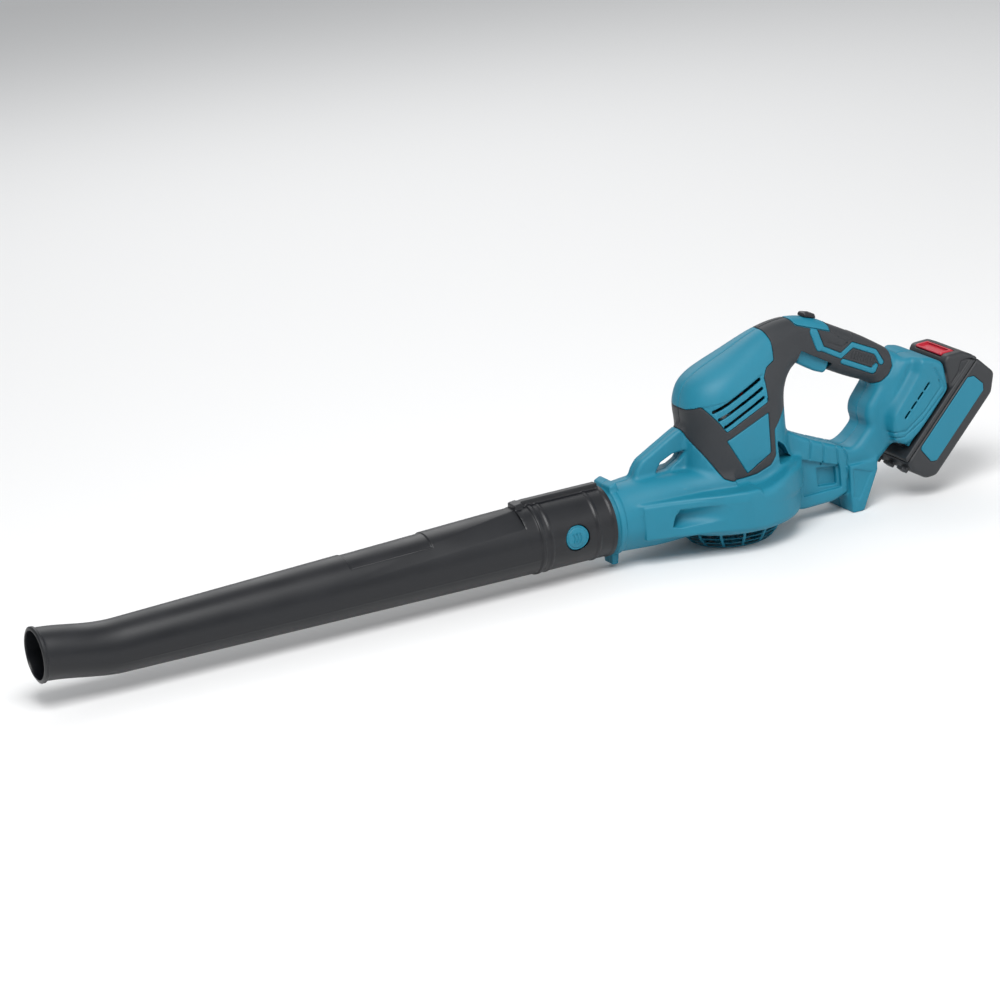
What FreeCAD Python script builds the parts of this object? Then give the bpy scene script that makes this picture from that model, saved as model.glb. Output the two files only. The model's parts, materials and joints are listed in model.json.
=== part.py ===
import FreeCAD, Part
import math
import os

# Cordless leaf blower, millimetres.
# +X runs rearward from the nozzle to the battery, +Y to the user's right, +Z up.
# Origin: centre of the intake grille's flat underside, on the fan axis, where the blower stands.

V = FreeCAD.Vector

# ---------------------------------------------------------------- driving dimensions
WALL = 2.6                    # moulded shell wall
FIT = 0.3                     # gap between plastic parts that slide on each other

TUBE_Z = 49.0                 # height of the nozzle and spigot axis
SPIGOT_R = 32.9
SPIGOT_FRONT = -212.0
FLANGE_X = -139.0             # front face of the outlet flange
SLEEVE_FRONT = -226.0
SLEEVE_REAR = -143.0
SLEEVE_BORE_R = SPIGOT_R + FIT
SLEEVE_R = 35.4
NOZZLE_WALL = 2.2
NOZZLE_TIP_X = -744.0
MOUTH_R = 23.9                # clear radius of the nozzle mouth
MOUTH_LENGTH = 14.0
LOCK_X = -187.0               # centre of the nozzle lock button
LOCK_R = 12.6

VOLUTE_R = 73.0
VOLUTE_BOTTOM = 22.0
VOLUTE_TOP = 64.0
INTAKE_R = 46.0

GRILLE_TOP_R = 55.0
GRILLE_BOTTOM_R = 37.0
GRILLE_WALL = 2.4

FAN_R = 57.0
FAN_BOTTOM = 29.0
FAN_HEIGHT = 22.0
BLADE_COUNT = 9

MOTOR_BASE = 69.0
MOTOR_R = 22.5
MOTOR_LENGTH = 64.0
SHAFT_R = 2.5

GRIP_DEPTH = 1.6              # thickness of the soft overmould

HANDLE_TILT = math.radians(-31.0)
BATTERY_TILT = math.radians(45.5)
BATTERY_ORIGIN = V(192.0, 0, 60.0)
BATTERY_HALF_WIDTH = 39.0

NODES = {}


# ---------------------------------------------------------------- geometry helpers
def rounded_outline(points, radii, y=0.0):
    """Closed wire in a plane of constant Y through (x, z) points with arc corners."""
    count = len(points)
    if not isinstance(radii, (list, tuple)):
        radii = [radii] * count
    corners = []
    for i in range(count):
        here = V(points[i][0], y, points[i][1])
        before = V(points[i - 1][0], y, points[i - 1][1])
        after = V(points[(i + 1) % count][0], y, points[(i + 1) % count][1])
        to_before = (before - here).normalize()
        to_after = (after - here).normalize()
        half = to_before.getAngle(to_after) / 2
        if radii[i] < 0.05:
            corners.append((here, None, here))
            continue
        run = radii[i] / math.tan(half)
        middle = (to_before + to_after).normalize() * (radii[i] / math.sin(half) - radii[i])
        corners.append((here + to_before * run, here + middle, here + to_after * run))
    edges = []
    for i in range(count):
        start, middle, end = corners[i]
        if middle is not None:
            edges.append(Part.Arc(start, middle, end).toShape())
        following = corners[(i + 1) % count][0]
        if (following - end).Length > 1e-4:
            edges.append(Part.LineSegment(end, following).toShape())
    return Part.Wire(edges)


def slab(points, radii, half_width, edge=0.0, centre=0.0):
    """Side outline of (x, z) points, extruded across Y, with its two outlines rounded over."""
    wire = rounded_outline(points, radii, centre - half_width)
    solid = Part.Face(wire).extrude(V(0, 2 * half_width, 0))
    if edge > 0:
        solid = solid.makeFillet(edge, outline_edges(solid, centre, half_width))
    return solid


def outline_edges(solid, centre, half_width):
    """Edges of a slab that lie in its two flat sides."""
    found = []
    for item in solid.Edges:
        offsets = [abs(abs(vertex.Y - centre) - half_width) for vertex in item.Vertexes]
        flat = abs(item.BoundBox.YLength) < 1e-6
        if flat and max(offsets) < 1e-6:
            found.append(item)
    return found


def section(outer, inner, half_width, corner):
    """Rounded rectangle across Y between two (x, z) points."""
    top = V(outer[0], 0, outer[1])
    bottom = V(inner[0], 0, inner[1])
    middle = (top + bottom) * 0.5
    up = (top - bottom).normalize()
    half_height = (top - bottom).Length / 2
    r = min(corner, half_height - 0.4, half_width - 0.4)

    def place(y, h):
        return middle + V(0, y, 0) + up * h

    points = []
    for quarter, (sy, sh) in enumerate([(1, 1), (-1, 1), (-1, -1), (1, -1)]):
        for step in range(3):
            angle = math.radians(90 * quarter + 45 * step)
            y = sy * (half_width - r) + r * math.cos(angle)
            h = sh * (half_height - r) + r * math.sin(angle)
            points.append(place(y, h))
    edges = []
    for quarter in range(4):
        first, middle_point, last = points[3 * quarter:3 * quarter + 3]
        edges.append(Part.Arc(first, middle_point, last).toShape())
        edges.append(Part.LineSegment(last, points[(3 * quarter + 3) % 12]).toShape())
    return Part.Wire(edges)


def loft(sections, inset=0.0):
    """Solid through rounded rectangles given as (outer, inner, half width, corner)."""
    wires = []
    for outer, inner, half_width, corner in sections:
        top = V(outer[0], 0, outer[1])
        bottom = V(inner[0], 0, inner[1])
        up = (top - bottom).normalize() * inset
        top = top - up
        bottom = bottom + up
        radius = max(corner - inset, 1.0)
        wires.append(section((top.x, top.z), (bottom.x, bottom.z), half_width - inset, radius))
    return Part.makeLoft(wires, True, True)


def disc(r, bottom, top, x=0.0, y=0.0):
    """Upright cylinder between two heights."""
    return Part.makeCylinder(r, top - bottom, V(x, y, bottom), V(0, 0, 1))


def tube_x(outer, inner, front, rear, z=TUBE_Z):
    """Tube along X."""
    body = Part.makeCylinder(outer, rear - front, V(front, 0, z), V(1, 0, 0))
    return body.cut(Part.makeCylinder(inner, rear - front + 2, V(front - 1, 0, z), V(1, 0, 0)))


def pin_y(r, x, z, start, end):
    """Cylinder along Y between two offsets."""
    return Part.makeCylinder(r, end - start, V(x, start, z), V(0, 1, 0))


def revolve(points):
    """Solid of revolution about Z through (radius, z) points."""
    wire = Part.makePolygon([V(p[0], 0, p[1]) for p in points + points[:1]])
    return Part.Face(wire).revolve(V(0, 0, 0), V(0, 0, 1), 360)


def fused(shapes):
    """One shape out of overlapping ones."""
    result = shapes[0]
    for shape in shapes[1:]:
        result = result.fuse(shape)
    return result


def main_solid(shape):
    """Largest solid of a cut result, without the thin slivers that a cut can leave."""
    return max(shape.Solids, key=lambda solid: solid.Volume)


def group(shapes):
    """Separate solids kept together in one node."""
    return Part.makeCompound(shapes)


def tilted_box(origin, tilt, low, high):
    """Box in a frame turned about Y: u along the tilt, y across, w square to both, downward."""
    box = Part.makeBox(high[0] - low[0], high[1] - low[1], high[2] - low[2], V(low[0], low[1], -high[2]))
    turn = FreeCAD.Rotation(V(0, 1, 0), -math.degrees(tilt))
    return box.transformed(FreeCAD.Placement(origin, turn).toMatrix())


def bat_box(low, high):
    """Box in battery coordinates (u along the rails, y across, w away from the handle)."""
    return tilted_box(BATTERY_ORIGIN, BATTERY_TILT, low, high)


def turned(origin, tilt, points):
    """(x, z) points from (u, w) ones in a frame turned about Y."""
    c = math.cos(tilt)
    s = math.sin(tilt)
    return [(origin.x + u * c + w * s, origin.z + u * s - w * c) for u, w in points]


def bat_slab(points, radii, half_width, edge=0.0, centre=0.0):
    """Slab from an outline in battery coordinates."""
    return slab(turned(BATTERY_ORIGIN, BATTERY_TILT, points), radii, half_width, edge, centre)


def lead(points, radius, bend):
    """Round wire along straight runs joined by arcs."""
    runs = [V(*p) for p in points]
    edges = []
    start = runs[0]
    for i in range(1, len(runs) - 1):
        to_before = (runs[i - 1] - runs[i]).normalize()
        to_after = (runs[i + 1] - runs[i]).normalize()
        half = to_before.getAngle(to_after) / 2
        run = bend / math.tan(half)
        middle = (to_before + to_after).normalize() * (bend / math.sin(half) - bend)
        edges.append(Part.LineSegment(start, runs[i] + to_before * run).toShape())
        edges.append(Part.Arc(runs[i] + to_before * run, runs[i] + middle, runs[i] + to_after * run).toShape())
        start = runs[i] + to_after * run
    edges.append(Part.LineSegment(start, runs[-1]).toShape())
    profile = Part.Wire(Part.makeCircle(radius, runs[0], runs[1] - runs[0]))
    return Part.Wire(edges).makePipeShell([profile], True, False)


def coil(radius, wire, pitch, height, base, axis):
    """Compression spring wound from tilted half turns that meet square to Y."""
    half = pitch / 2
    arcs = []
    for i in range(round(height / half)):
        side = 1 if i % 2 == 0 else -1
        start = V(side * radius, 0, i * half)
        middle = V(0, side * math.hypot(radius, half / 2), (i + 0.5) * half)
        end = V(-side * radius, 0, (i + 1) * half)
        arcs.append(Part.Arc(start, middle, end).toShape())
    profile = Part.Wire(Part.makeCircle(wire, V(radius, 0, 0), V(0, 1, 0)))
    spring = Part.Wire(arcs).makePipeShell([profile], True, False)
    turn = FreeCAD.Rotation(V(0, 0, 1), axis)
    return spring.transformed(FreeCAD.Placement(base, turn).toMatrix())


def half_space(side):
    """Large box that covers one side of the parting plane."""
    y = 0.0 if side > 0 else -200.0
    return Part.makeBox(1400, 200, 700, V(-900, y, -200))


def keep(name, shape):
    """Record one finished node."""
    NODES[name] = shape
    return shape


# ---------------------------------------------------------------- nozzle
TUBE_STATIONS = [SLEEVE_FRONT, -300, -400, -500, -580, -650, -670, -685, -700, -715, -730, NOZZLE_TIP_X]


def tube_height(x):
    """Axis height of the tube: a slight droop, then an S-bend that lifts the tip."""
    bend = max(0.0, min(1.0, (-665.0 - x) / 85.0))
    return TUBE_Z - 0.0107 * (SLEEVE_FRONT - x) + 11.0 * bend * bend * (3 - 2 * bend)


def tube_radius(x):
    """Outer radius of the tapered tube."""
    return max(35.0 - 0.0196 * (SLEEVE_FRONT - x), 25.9)


def tube_loft(inset, stations):
    """Loft through upright circles down the tapered, bent tube."""
    wires = []
    for x in stations:
        ring = Part.makeCircle(tube_radius(x) - inset, V(x, 0, tube_height(x)), V(1, 0, 0))
        wires.append(Part.Wire(ring))
    return Part.makeLoft(wires, True, True)


def make_nozzle():
    """Nozzle tube with sleeve, rings, rim, key rib and lock hole."""
    tip_z = tube_height(NOZZLE_TIP_X)
    sleeve_end = Part.makeCylinder(SLEEVE_R, SLEEVE_REAR - SLEEVE_FRONT, V(SLEEVE_FRONT, 0, TUBE_Z), V(1, 0, 0))
    rings = [
        tube_x(SLEEVE_R + 0.8, SLEEVE_R - 1, -147.5, SLEEVE_REAR),
        tube_x(SLEEVE_R + 0.6, SLEEVE_R - 1, -165.0, -161.5),
        tube_x(SLEEVE_R + 0.8, SLEEVE_R - 1.5, -226.0, -222.0),
        tube_x(SLEEVE_R + 0.6, SLEEVE_R - 1, -216.5, -213.5),
    ]
    rim = tube_x(MOUTH_R + 4.0, MOUTH_R + 1.0, NOZZLE_TIP_X, NOZZLE_TIP_X + 4.0, tip_z)
    top = TUBE_Z + SLEEVE_R
    rib = slab([(-236, top - 3), (-236, top + 3.5), (-228, top + 5), (-146, top + 5), (-146, top - 3)],
               [0.5, 1, 2, 1, 0.5], 4.5, 0.0)
    block = slab([(-240, top - 4), (-240, top + 3.5), (-231, top + 4.5), (-229, top - 3)], 0.8, 8.0)
    outer = fused([tube_loft(0.0, TUBE_STATIONS), sleeve_end, rim, rib, block] + rings)
    bore_length = SLEEVE_REAR - SLEEVE_FRONT + 4
    bore = Part.makeCylinder(SLEEVE_BORE_R, bore_length, V(SLEEVE_FRONT + 3, 0, TUBE_Z), V(1, 0, 0))
    mouth = Part.makeCylinder(MOUTH_R, MOUTH_LENGTH + 1, V(NOZZLE_TIP_X - 1, 0, tip_z), V(1, 0, 0))
    hole = pin_y(LOCK_R + 0.5, LOCK_X, TUBE_Z, -60, -20)
    lane = Part.makeBox(SLEEVE_REAR - LOCK_X + 1, 40, 2 * LOCK_R + 1, V(LOCK_X, -50, TUBE_Z - LOCK_R - 0.5))
    channel = tube_x(SLEEVE_R - 0.9, 25.0, LOCK_X, SLEEVE_REAR + 1).common(lane)
    tube = outer.cut(fused([tube_loft(NOZZLE_WALL, TUBE_STATIONS[:-1]), bore, mouth]))
    keep("nozzle_tube", tube.cut(fused([hole, channel])))


def make_lock_button():
    """Round spring button in the left side of the spigot."""
    crown = Part.makeCylinder(SLEEVE_R - 1.2, 40, V(LOCK_X - 20, 0, TUBE_Z), V(1, 0, 0))
    button = pin_y(LOCK_R, LOCK_X, TUBE_Z, -40, -25.6).common(crown)
    flange = pin_y(LOCK_R + 1.6, LOCK_X, TUBE_Z, -27.6, -25.6)
    keep("nozzle_lock_button", button.fuse(flange))
    keep("nozzle_button_spring", coil(4.6, 0.45, 2.2, 7.6, V(LOCK_X, -24.9, TUBE_Z), V(0, 1, 0)))
    cup = pin_y(LOCK_R + 4.0, LOCK_X, TUBE_Z, -32.0, -14.4)
    cup = cup.common(Part.makeCylinder(SPIGOT_R - 0.1, 60, V(LOCK_X - 30, 0, TUBE_Z), V(1, 0, 0)))
    room = pin_y(LOCK_R + 1.9, LOCK_X, TUBE_Z, -27.9, -16.6)
    keep("nozzle_button_cup", cup.cut(room).cut(pin_y(LOCK_R + FIT, LOCK_X, TUBE_Z, -40, -20)))


# ---------------------------------------------------------------- housing
DUCT = [                      # sections across X: (top, bottom, half width, corner)
    ((-141, TUBE_Z + 33.6), (-141, TUBE_Z - 33.6), 33.6, 33.0),
    ((-118, TUBE_Z + 34.6), (-118, TUBE_Z - 34.5), 35.0, 31.0),
    ((-90, TUBE_Z + 34.8), (-90, TUBE_Z - 34.0), 37.0, 26.0),
    ((-55, TUBE_Z + 34.8), (-55, TUBE_Z - 31.0), 42.0, 20.0),
    ((-15, TUBE_Z + 33.0), (-15, TUBE_Z - 27.0), 50.0, 14.0),
]

HOOD = [                      # motor hood up, over and down into the handle
    ((-54, 58), (70, 58), 46, 42),
    ((-49, 92), (66, 90), 43.5, 40),
    ((-46, 122), (65, 118), 42, 38),
    ((-46, 150), (66, 140), 41, 37),
    ((-32, 172), (70, 152), 37, 33),
    ((12, 191.5), (75, 158.5), 30, 25),
    ((50, 206.5), (82, 161.5), 23, 20),
    ((80, 211.0), (92, 161), 19, 16),
    ((108, 205.5), (108.5, 156), 18.5, 15),
    ((136, 191.5), (122, 148.5), 18.2, 15),
    ((164, 175.5), (143, 137.5), 18.2, 15),
    ((186, 161), (163, 128.5), 19, 15),
    ((200, 151), (174, 122), 21, 15),
]

REAR_OUTLINE = [(178, 108), (173, 86), (178, 66), (191.5, 60), (206, 68.5), (244, 108.5), (240, 137.5),
                (226, 145), (212, 147.5), (198, 146.5)]
REAR_RADII = [14, 12, 8, 7, 12, 4, 9, 14, 16, 12]
STRUT_OUTLINE = [(190, 138), (172, 123), (157, 105), (154.5, 94), (158, 84), (147, 74), (132, 58), (162, 43),
                 (178, 56), (205, 90), (212, 130)]
STRUT_RADII = [4, 10, 8, 6, 5, 10, 4, 4, 5, 4, 4]
BRIDGE_OUTLINE = [(40, 78), (58, 104), (66, 99), (79, 91), (97, 82), (134, 66.5), (150, 68), (161, 48),
                  (158, 34), (146, 6), (129, 5), (126, 21), (110, 15.6), (75, 14.5), (40, 24)]
BRIDGE_RADII = [2, 4, 6, 16, 30, 8, 6, 6, 4, 3, 3, 3, 6, 16, 2]
FOOT_OUTLINE = [(128.5, 0.0), (142, 0.0), (161, 40), (160, 50), (126, 50), (127.5, 22)]


AIR_DUCT = [                  # the same, inside
    ((-142, TUBE_Z + 30.3), (-142, TUBE_Z - 30.3), 30.3, 29.6),
    ((-118, TUBE_Z + 31.8), (-118, TUBE_Z - 31.9), 32.4, 28.0),
    ((-90, TUBE_Z + 31.0), (-90, TUBE_Z - 31.4), 34.4, 23.0),
    ((-60, 61.4), (-60, TUBE_Z - 26.0), 39.0, 14.0),
    ((-20, 61.4), (-20, 24.6), 46.0, 8.0),
]


def eye_web():
    """Strap eye: a thin web in front of the hood with a lens-shaped hole."""
    web = slab([(-108, 80), (-104, 92), (-97, 101), (-58, 121.5), (-40, 130), (-34, 80)],
               [2, 5, 5, 20, 2, 2], 6.5, 3.0)
    eye = slab([(-84, 85.5), (-77, 96), (-62, 102.5), (-47, 103), (-54, 93.5), (-68, 86)],
               [2, 6, 8, 2, 5, 6], 20)
    return web, eye


def housing_solid():
    """Whole outside of the two shells, before hollowing and splitting."""
    volute = disc(VOLUTE_R, VOLUTE_BOTTOM, VOLUTE_TOP)
    volute = volute.makeFillet(10.0, [e for e in volute.Edges if e.Length > 300])
    rear = slab(REAR_OUTLINE, REAR_RADII, 38.0, 7.0)
    strut = slab(STRUT_OUTLINE, STRUT_RADII, 23.0, 9.0)
    bridge = slab(BRIDGE_OUTLINE, BRIDGE_RADII, 22.0, 5.0)
    foot = slab(FOOT_OUTLINE, [1.5, 1.5, 4, 2, 2, 3], 26.0, 2.0)
    web, eye = eye_web()
    flange = Part.makeCylinder(36.2, 6.5, V(FLANGE_X, 0, TUBE_Z), V(1, 0, 0))
    top_lug = slab([(FLANGE_X, 80), (FLANGE_X, 85), (FLANGE_X + 8, 89), (FLANGE_X + 9, 80)],
                   [1, 3, 3, 1], 17, 1.5)
    bottom_lug = slab([(FLANGE_X, 16), (FLANGE_X + 8, 16), (FLANGE_X + 6.5, 3), (FLANGE_X, 3)],
                      [1, 1, 3, 3], 9, 1.5)
    members = [loft(HOOD), volute, loft(DUCT), rear, strut, bridge, foot, web, flange, top_lug, bottom_lug]
    solid = fused(members)
    return solid.cut(eye)


def housing_hollow():
    """Motor bay, handle, battery mount and bridge spaces inside the shells."""
    bay = loft(HOOD[1:], WALL)
    well = disc(38.5, 67.0, 95.0)
    rear = slab([(181, 108), (176.5, 87), (181, 72), (196, 80), (231, 116), (235, 134), (224, 141.5),
                 (211, 144), (200, 143)], [11, 9, 6, 8, 4, 7, 11, 13, 8], 38.0 - WALL, 4.0)
    strut = slab([(190, 132), (174, 119), (160, 103), (158, 94), (162, 84), (152, 73), (162, 62), (178, 66),
                  (190, 90), (200, 120)], [4, 8, 6, 4, 4, 4, 3, 4, 4, 4], 23.0 - WALL, 6.0)
    bridge = slab([(82, 80), (97, 75), (136, 61), (146, 60), (153, 46), (147, 24), (132, 22), (126, 26),
                   (110, 20), (82, 20)], 2.0, 22.0 - WALL, 2.0)
    neck = tilted_box(V(187, 0, 137), HANDLE_TILT, (-8, -13, -13), (16, 13, 13))
    return fused([bay, well, neck, rear, strut, bridge])


def air_path():
    """Fan chamber, outlet duct, intake eye and spigot bore."""
    chamber = disc(VOLUTE_R - WALL, VOLUTE_BOTTOM + WALL, VOLUTE_TOP - WALL)
    intake = disc(INTAKE_R, VOLUTE_BOTTOM - 5, VOLUTE_BOTTOM + 10)
    duct = loft(AIR_DUCT)
    bore = Part.makeCylinder(SPIGOT_R - WALL, 80, V(SPIGOT_FRONT - 1, 0, TUBE_Z), V(1, 0, 0))
    return fused([chamber, intake, duct, bore])


def grip_regions():
    """Side outlines of the soft grip: handle sleeve, rear band and front band of the hood."""
    handle = slab([(58, 230), (47, 200), (50, 180), (38, 172), (33, 160), (33, 140), (38, 112), (52, 124),
                   (84, 146), (180, 110), (200, 152), (186, 175)], 2.0, 60)
    front = slab([(-70, 148), (-36, 149), (-22, 130), (-16, 112), (1, 71), (28, 88), (34, 160), (42, 150),
                  (38, 84), (28, 74), (10, 66), (-21, 65), (-44, 107), (-58, 130), (-70, 139)], 1.0, 60)
    return handle, front


VENT_SLOTS = [((-26, 143.5), (28, 163.5)), ((-21, 135.0), (28.5, 154.3)), ((-16, 126.0), (29, 145.5))]
REAR_SLOTS = 4
SCREWS = [(-100, 88), (-20, 160), (59, 190), (190, 146), (220, 136), (150, 50), (112, 32), (138, 33)]
BOSS_R = 4.2
SCREW_R = 1.6
SCREW_HEAD_R = 3.1
SLIDER_ORIGIN = V(106.0, 0, 205.4)
SLIDER_TILT = math.radians(-17.0)
SWITCH_ORIGIN = V(108.0, 0, 181.0)


def slot_between(start, end, width, y_low, y_high):
    """Straight slot with round ends through a side wall."""
    dx = end[0] - start[0]
    dz = end[1] - start[1]
    tilt = math.atan2(dz, dx)
    length = math.hypot(dx, dz)
    bar = tilted_box(V(start[0], 0, start[1]), tilt, (0, y_low, -width / 2), (length, y_high, width / 2))
    ends = [pin_y(width / 2, p[0], p[1], y_low, y_high) for p in (start, end)]
    return fused([bar] + ends)


def half_width_at(outer, x, z):
    """Half width of the housing on a line across it."""
    return pin_y(0.2, x, z, 0, 120).common(outer).BoundBox.YMax


def make_housing():
    """Left and right shells with their openings, the soft grip, the switch panel and the screws."""
    outer = housing_solid()
    hood = loft(HOOD)
    skin = hood.cut(loft(HOOD, GRIP_DEPTH))
    spigot = Part.makeCylinder(SPIGOT_R, FLANGE_X - SPIGOT_FRONT + 2, V(SPIGOT_FRONT, 0, TUBE_Z), V(1, 0, 0))
    cup_seat = pin_y(LOCK_R + 4.0, LOCK_X, TUBE_Z, -60, -14.4)

    bosses = []
    screws = []
    sinks = []
    for x, z in SCREWS:
        reach = half_width_at(outer, x, z)
        bosses.append(pin_y(BOSS_R, x, z, -reach + 1.0, reach - 1.0))
        head = reach - 5.0
        tip = max(head - 16, 1.5 - reach)
        screws.append(pin_y(SCREW_R, x, z, tip, head).fuse(pin_y(SCREW_HEAD_R, x, z, head, head + 2.4)))
        sinks.append(pin_y(SCREW_HEAD_R + 0.3, x, z, head, 60))
        sinks.append(pin_y(SCREW_R, x, z, tip, head))
    shell = outer.cut(housing_hollow())
    shell = fused([shell] + [boss.common(outer) for boss in bosses])
    shell = shell.fuse(spigot).cut(air_path())

    deck = bat_box((-3, -35.5, -12.5), (80, 35.5, -9.5)).common(slab(REAR_OUTLINE, REAR_RADII, 37.0))
    shell = shell.fuse(deck)
    shell = shell.cut(bat_box((-3, -33.5, -9.5), (110, 33.5, 6)))
    for side in (-1, 1):
        lip = bat_box((0, min(side * 26.5, side * 34), -0.5), (68, max(side * 26.5, side * 34), 2.4))
        shell = shell.fuse(lip)

    plate = disc(39, 58, 67.2).cut(disc(8, 50, 70))
    shell = shell.fuse(plate.common(outer)).cut(disc(8, 50, 68))
    rim = GRILLE_TOP_R + FIT
    shell = shell.cut(revolve([(0, -5), (rim, -5), (rim, VOLUTE_BOTTOM), (0, VOLUTE_BOTTOM)]))
    for x in (-15, 15):
        shell = shell.cut(disc(3.6, 60, 64.6, x)).cut(disc(1.9, 64, 68, x))

    trigger_slot = tilted_box(SWITCH_ORIGIN, HANDLE_TILT, (-16, -9.6, 10), (20.5, 9.6, 34))
    slider_slot = tilted_box(SLIDER_ORIGIN, SLIDER_TILT, (-4.5, -3.5, -4), (11.5, 3.5, 12))
    vents = []
    for start, end in VENT_SLOTS:
        vents.append(slot_between(start, end, 3.2, -70, -20))
        vents.append(slot_between(start, end, 3.2, 20, 70))
    for i in range(REAR_SLOTS):
        x = 190.5 + i * 8.2
        z = 90.0 + i * 8.2
        vents.append(slot_between((x, z), (x + 4.6, z + 4.6), 1.8, -60, -30))
        vents.append(slot_between((x, z), (x + 4.6, z + 4.6), 1.8, 30, 60))
    cuts = [trigger_slot, slider_slot] + vents + sinks
    shell = fused_cut(shell, cuts)

    panel_region = slab([(80, 240), (82, 205.5), (116, 193), (124, 191), (132, 240)], 1.0, 60)
    handle_region, front_region = grip_regions()
    panel = skin.common(panel_region).cut(slider_slot)
    keep("switch_panel", panel)
    regions = handle_region.fuse(front_region).cut(panel_region)
    grip = fused_cut(skin.common(regions), [trigger_slot] + vents + sinks)
    shell = shell.cut(skin.common(handle_region.fuse(front_region)))
    shell = shell.cut(skin.common(panel_region))
    shell = shell.cut(cup_seat.common(tube_x(60, 20, -205, -168)))
    for name, side in (("left", -1), ("right", 1)):
        half = half_space(side)
        keep("housing_" + name, main_solid(shell.common(half)))
        keep("grip_" + name, main_solid(grip.common(half)))
    keep("housing_screws", group(screws))


def fused_cut(shape, tools):
    """Cut several tools in turn."""
    for tool in tools:
        shape = shape.cut(tool)
    return shape


# ---------------------------------------------------------------- fan and motor
def make_grille():
    """Bowl-shaped intake grille with three rows of slots and a slotted flat bottom."""
    bowl = revolve([(INTAKE_R - 1.5, VOLUTE_BOTTOM), (GRILLE_TOP_R, VOLUTE_BOTTOM),
                    (GRILLE_TOP_R - 0.5, 17), (50, 10), (44, 3), (GRILLE_BOTTOM_R + 2, 0),
                    (0, 0), (0, GRILLE_WALL), (GRILLE_BOTTOM_R, GRILLE_WALL),
                    (42, 5.5), (47.5, 12), (50.5, 19), (INTAKE_R - 1.5, 19)])
    cutters = []
    for level, low, high, count in ((0, 14.2, 18.0, 18), (1, 8.4, 12.2, 16), (2, 3.4, 6.6, 14)):
        for i in range(count):
            bar = Part.makeBox(30, 11.5, high - low, V(33, -5.75, low))
            bar.rotate(V(0, 0, 0), V(0, 0, 1), 360.0 * (i + 0.5 * level) / count)
            cutters.append(bar)
    for r, count in ((28, 12), (16, 8)):
        for i in range(count):
            bar = Part.makeBox(6.5, 6.0, 8, V(r - 3, -3.0, -2))
            bar.rotate(V(0, 0, 0), V(0, 0, 1), 360.0 * i / count)
            cutters.append(bar)
    keep("intake_grille", fused_cut(bowl, cutters))


def make_fan():
    """Backward-curved centrifugal impeller with its nut."""
    top = FAN_BOTTOM + FAN_HEIGHT
    back = disc(FAN_R, top, top + 1.8)
    hub = disc(9, FAN_BOTTOM + 4, top + 1.8)
    ring = disc(FAN_R, FAN_BOTTOM, FAN_BOTTOM + 1.6).cut(disc(FAN_R - 12, FAN_BOTTOM - 1, FAN_BOTTOM + 3))
    blades = []
    for i in range(BLADE_COUNT):
        outer = disc(46, FAN_BOTTOM + 0.8, top + 1, 20, 30)
        inner = disc(44.4, FAN_BOTTOM, top + 2, 20, 30)
        blade = outer.cut(inner).common(disc(FAN_R, FAN_BOTTOM, top + 1))
        blade = blade.cut(disc(24, FAN_BOTTOM - 1, top + 2))
        blade = blade.common(Part.makeBox(80, 80, 60, V(20, -60, 10)))
        blade.rotate(V(0, 0, 0), V(0, 0, 1), 360.0 * i / BLADE_COUNT)
        blades.append(blade)
    keep("impeller", fused([back, hub, ring] + blades).cut(disc(SHAFT_R, 0, 200)))
    turns = [math.radians(60 * i) for i in range(7)]
    corners = [V(4.2 * math.cos(turn), 4.2 * math.sin(turn), FAN_BOTTOM) for turn in turns]
    nut = Part.Face(Part.makePolygon(corners)).extrude(V(0, 0, 4))
    keep("impeller_nut", nut.cut(disc(SHAFT_R, 0, 200)))


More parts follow.
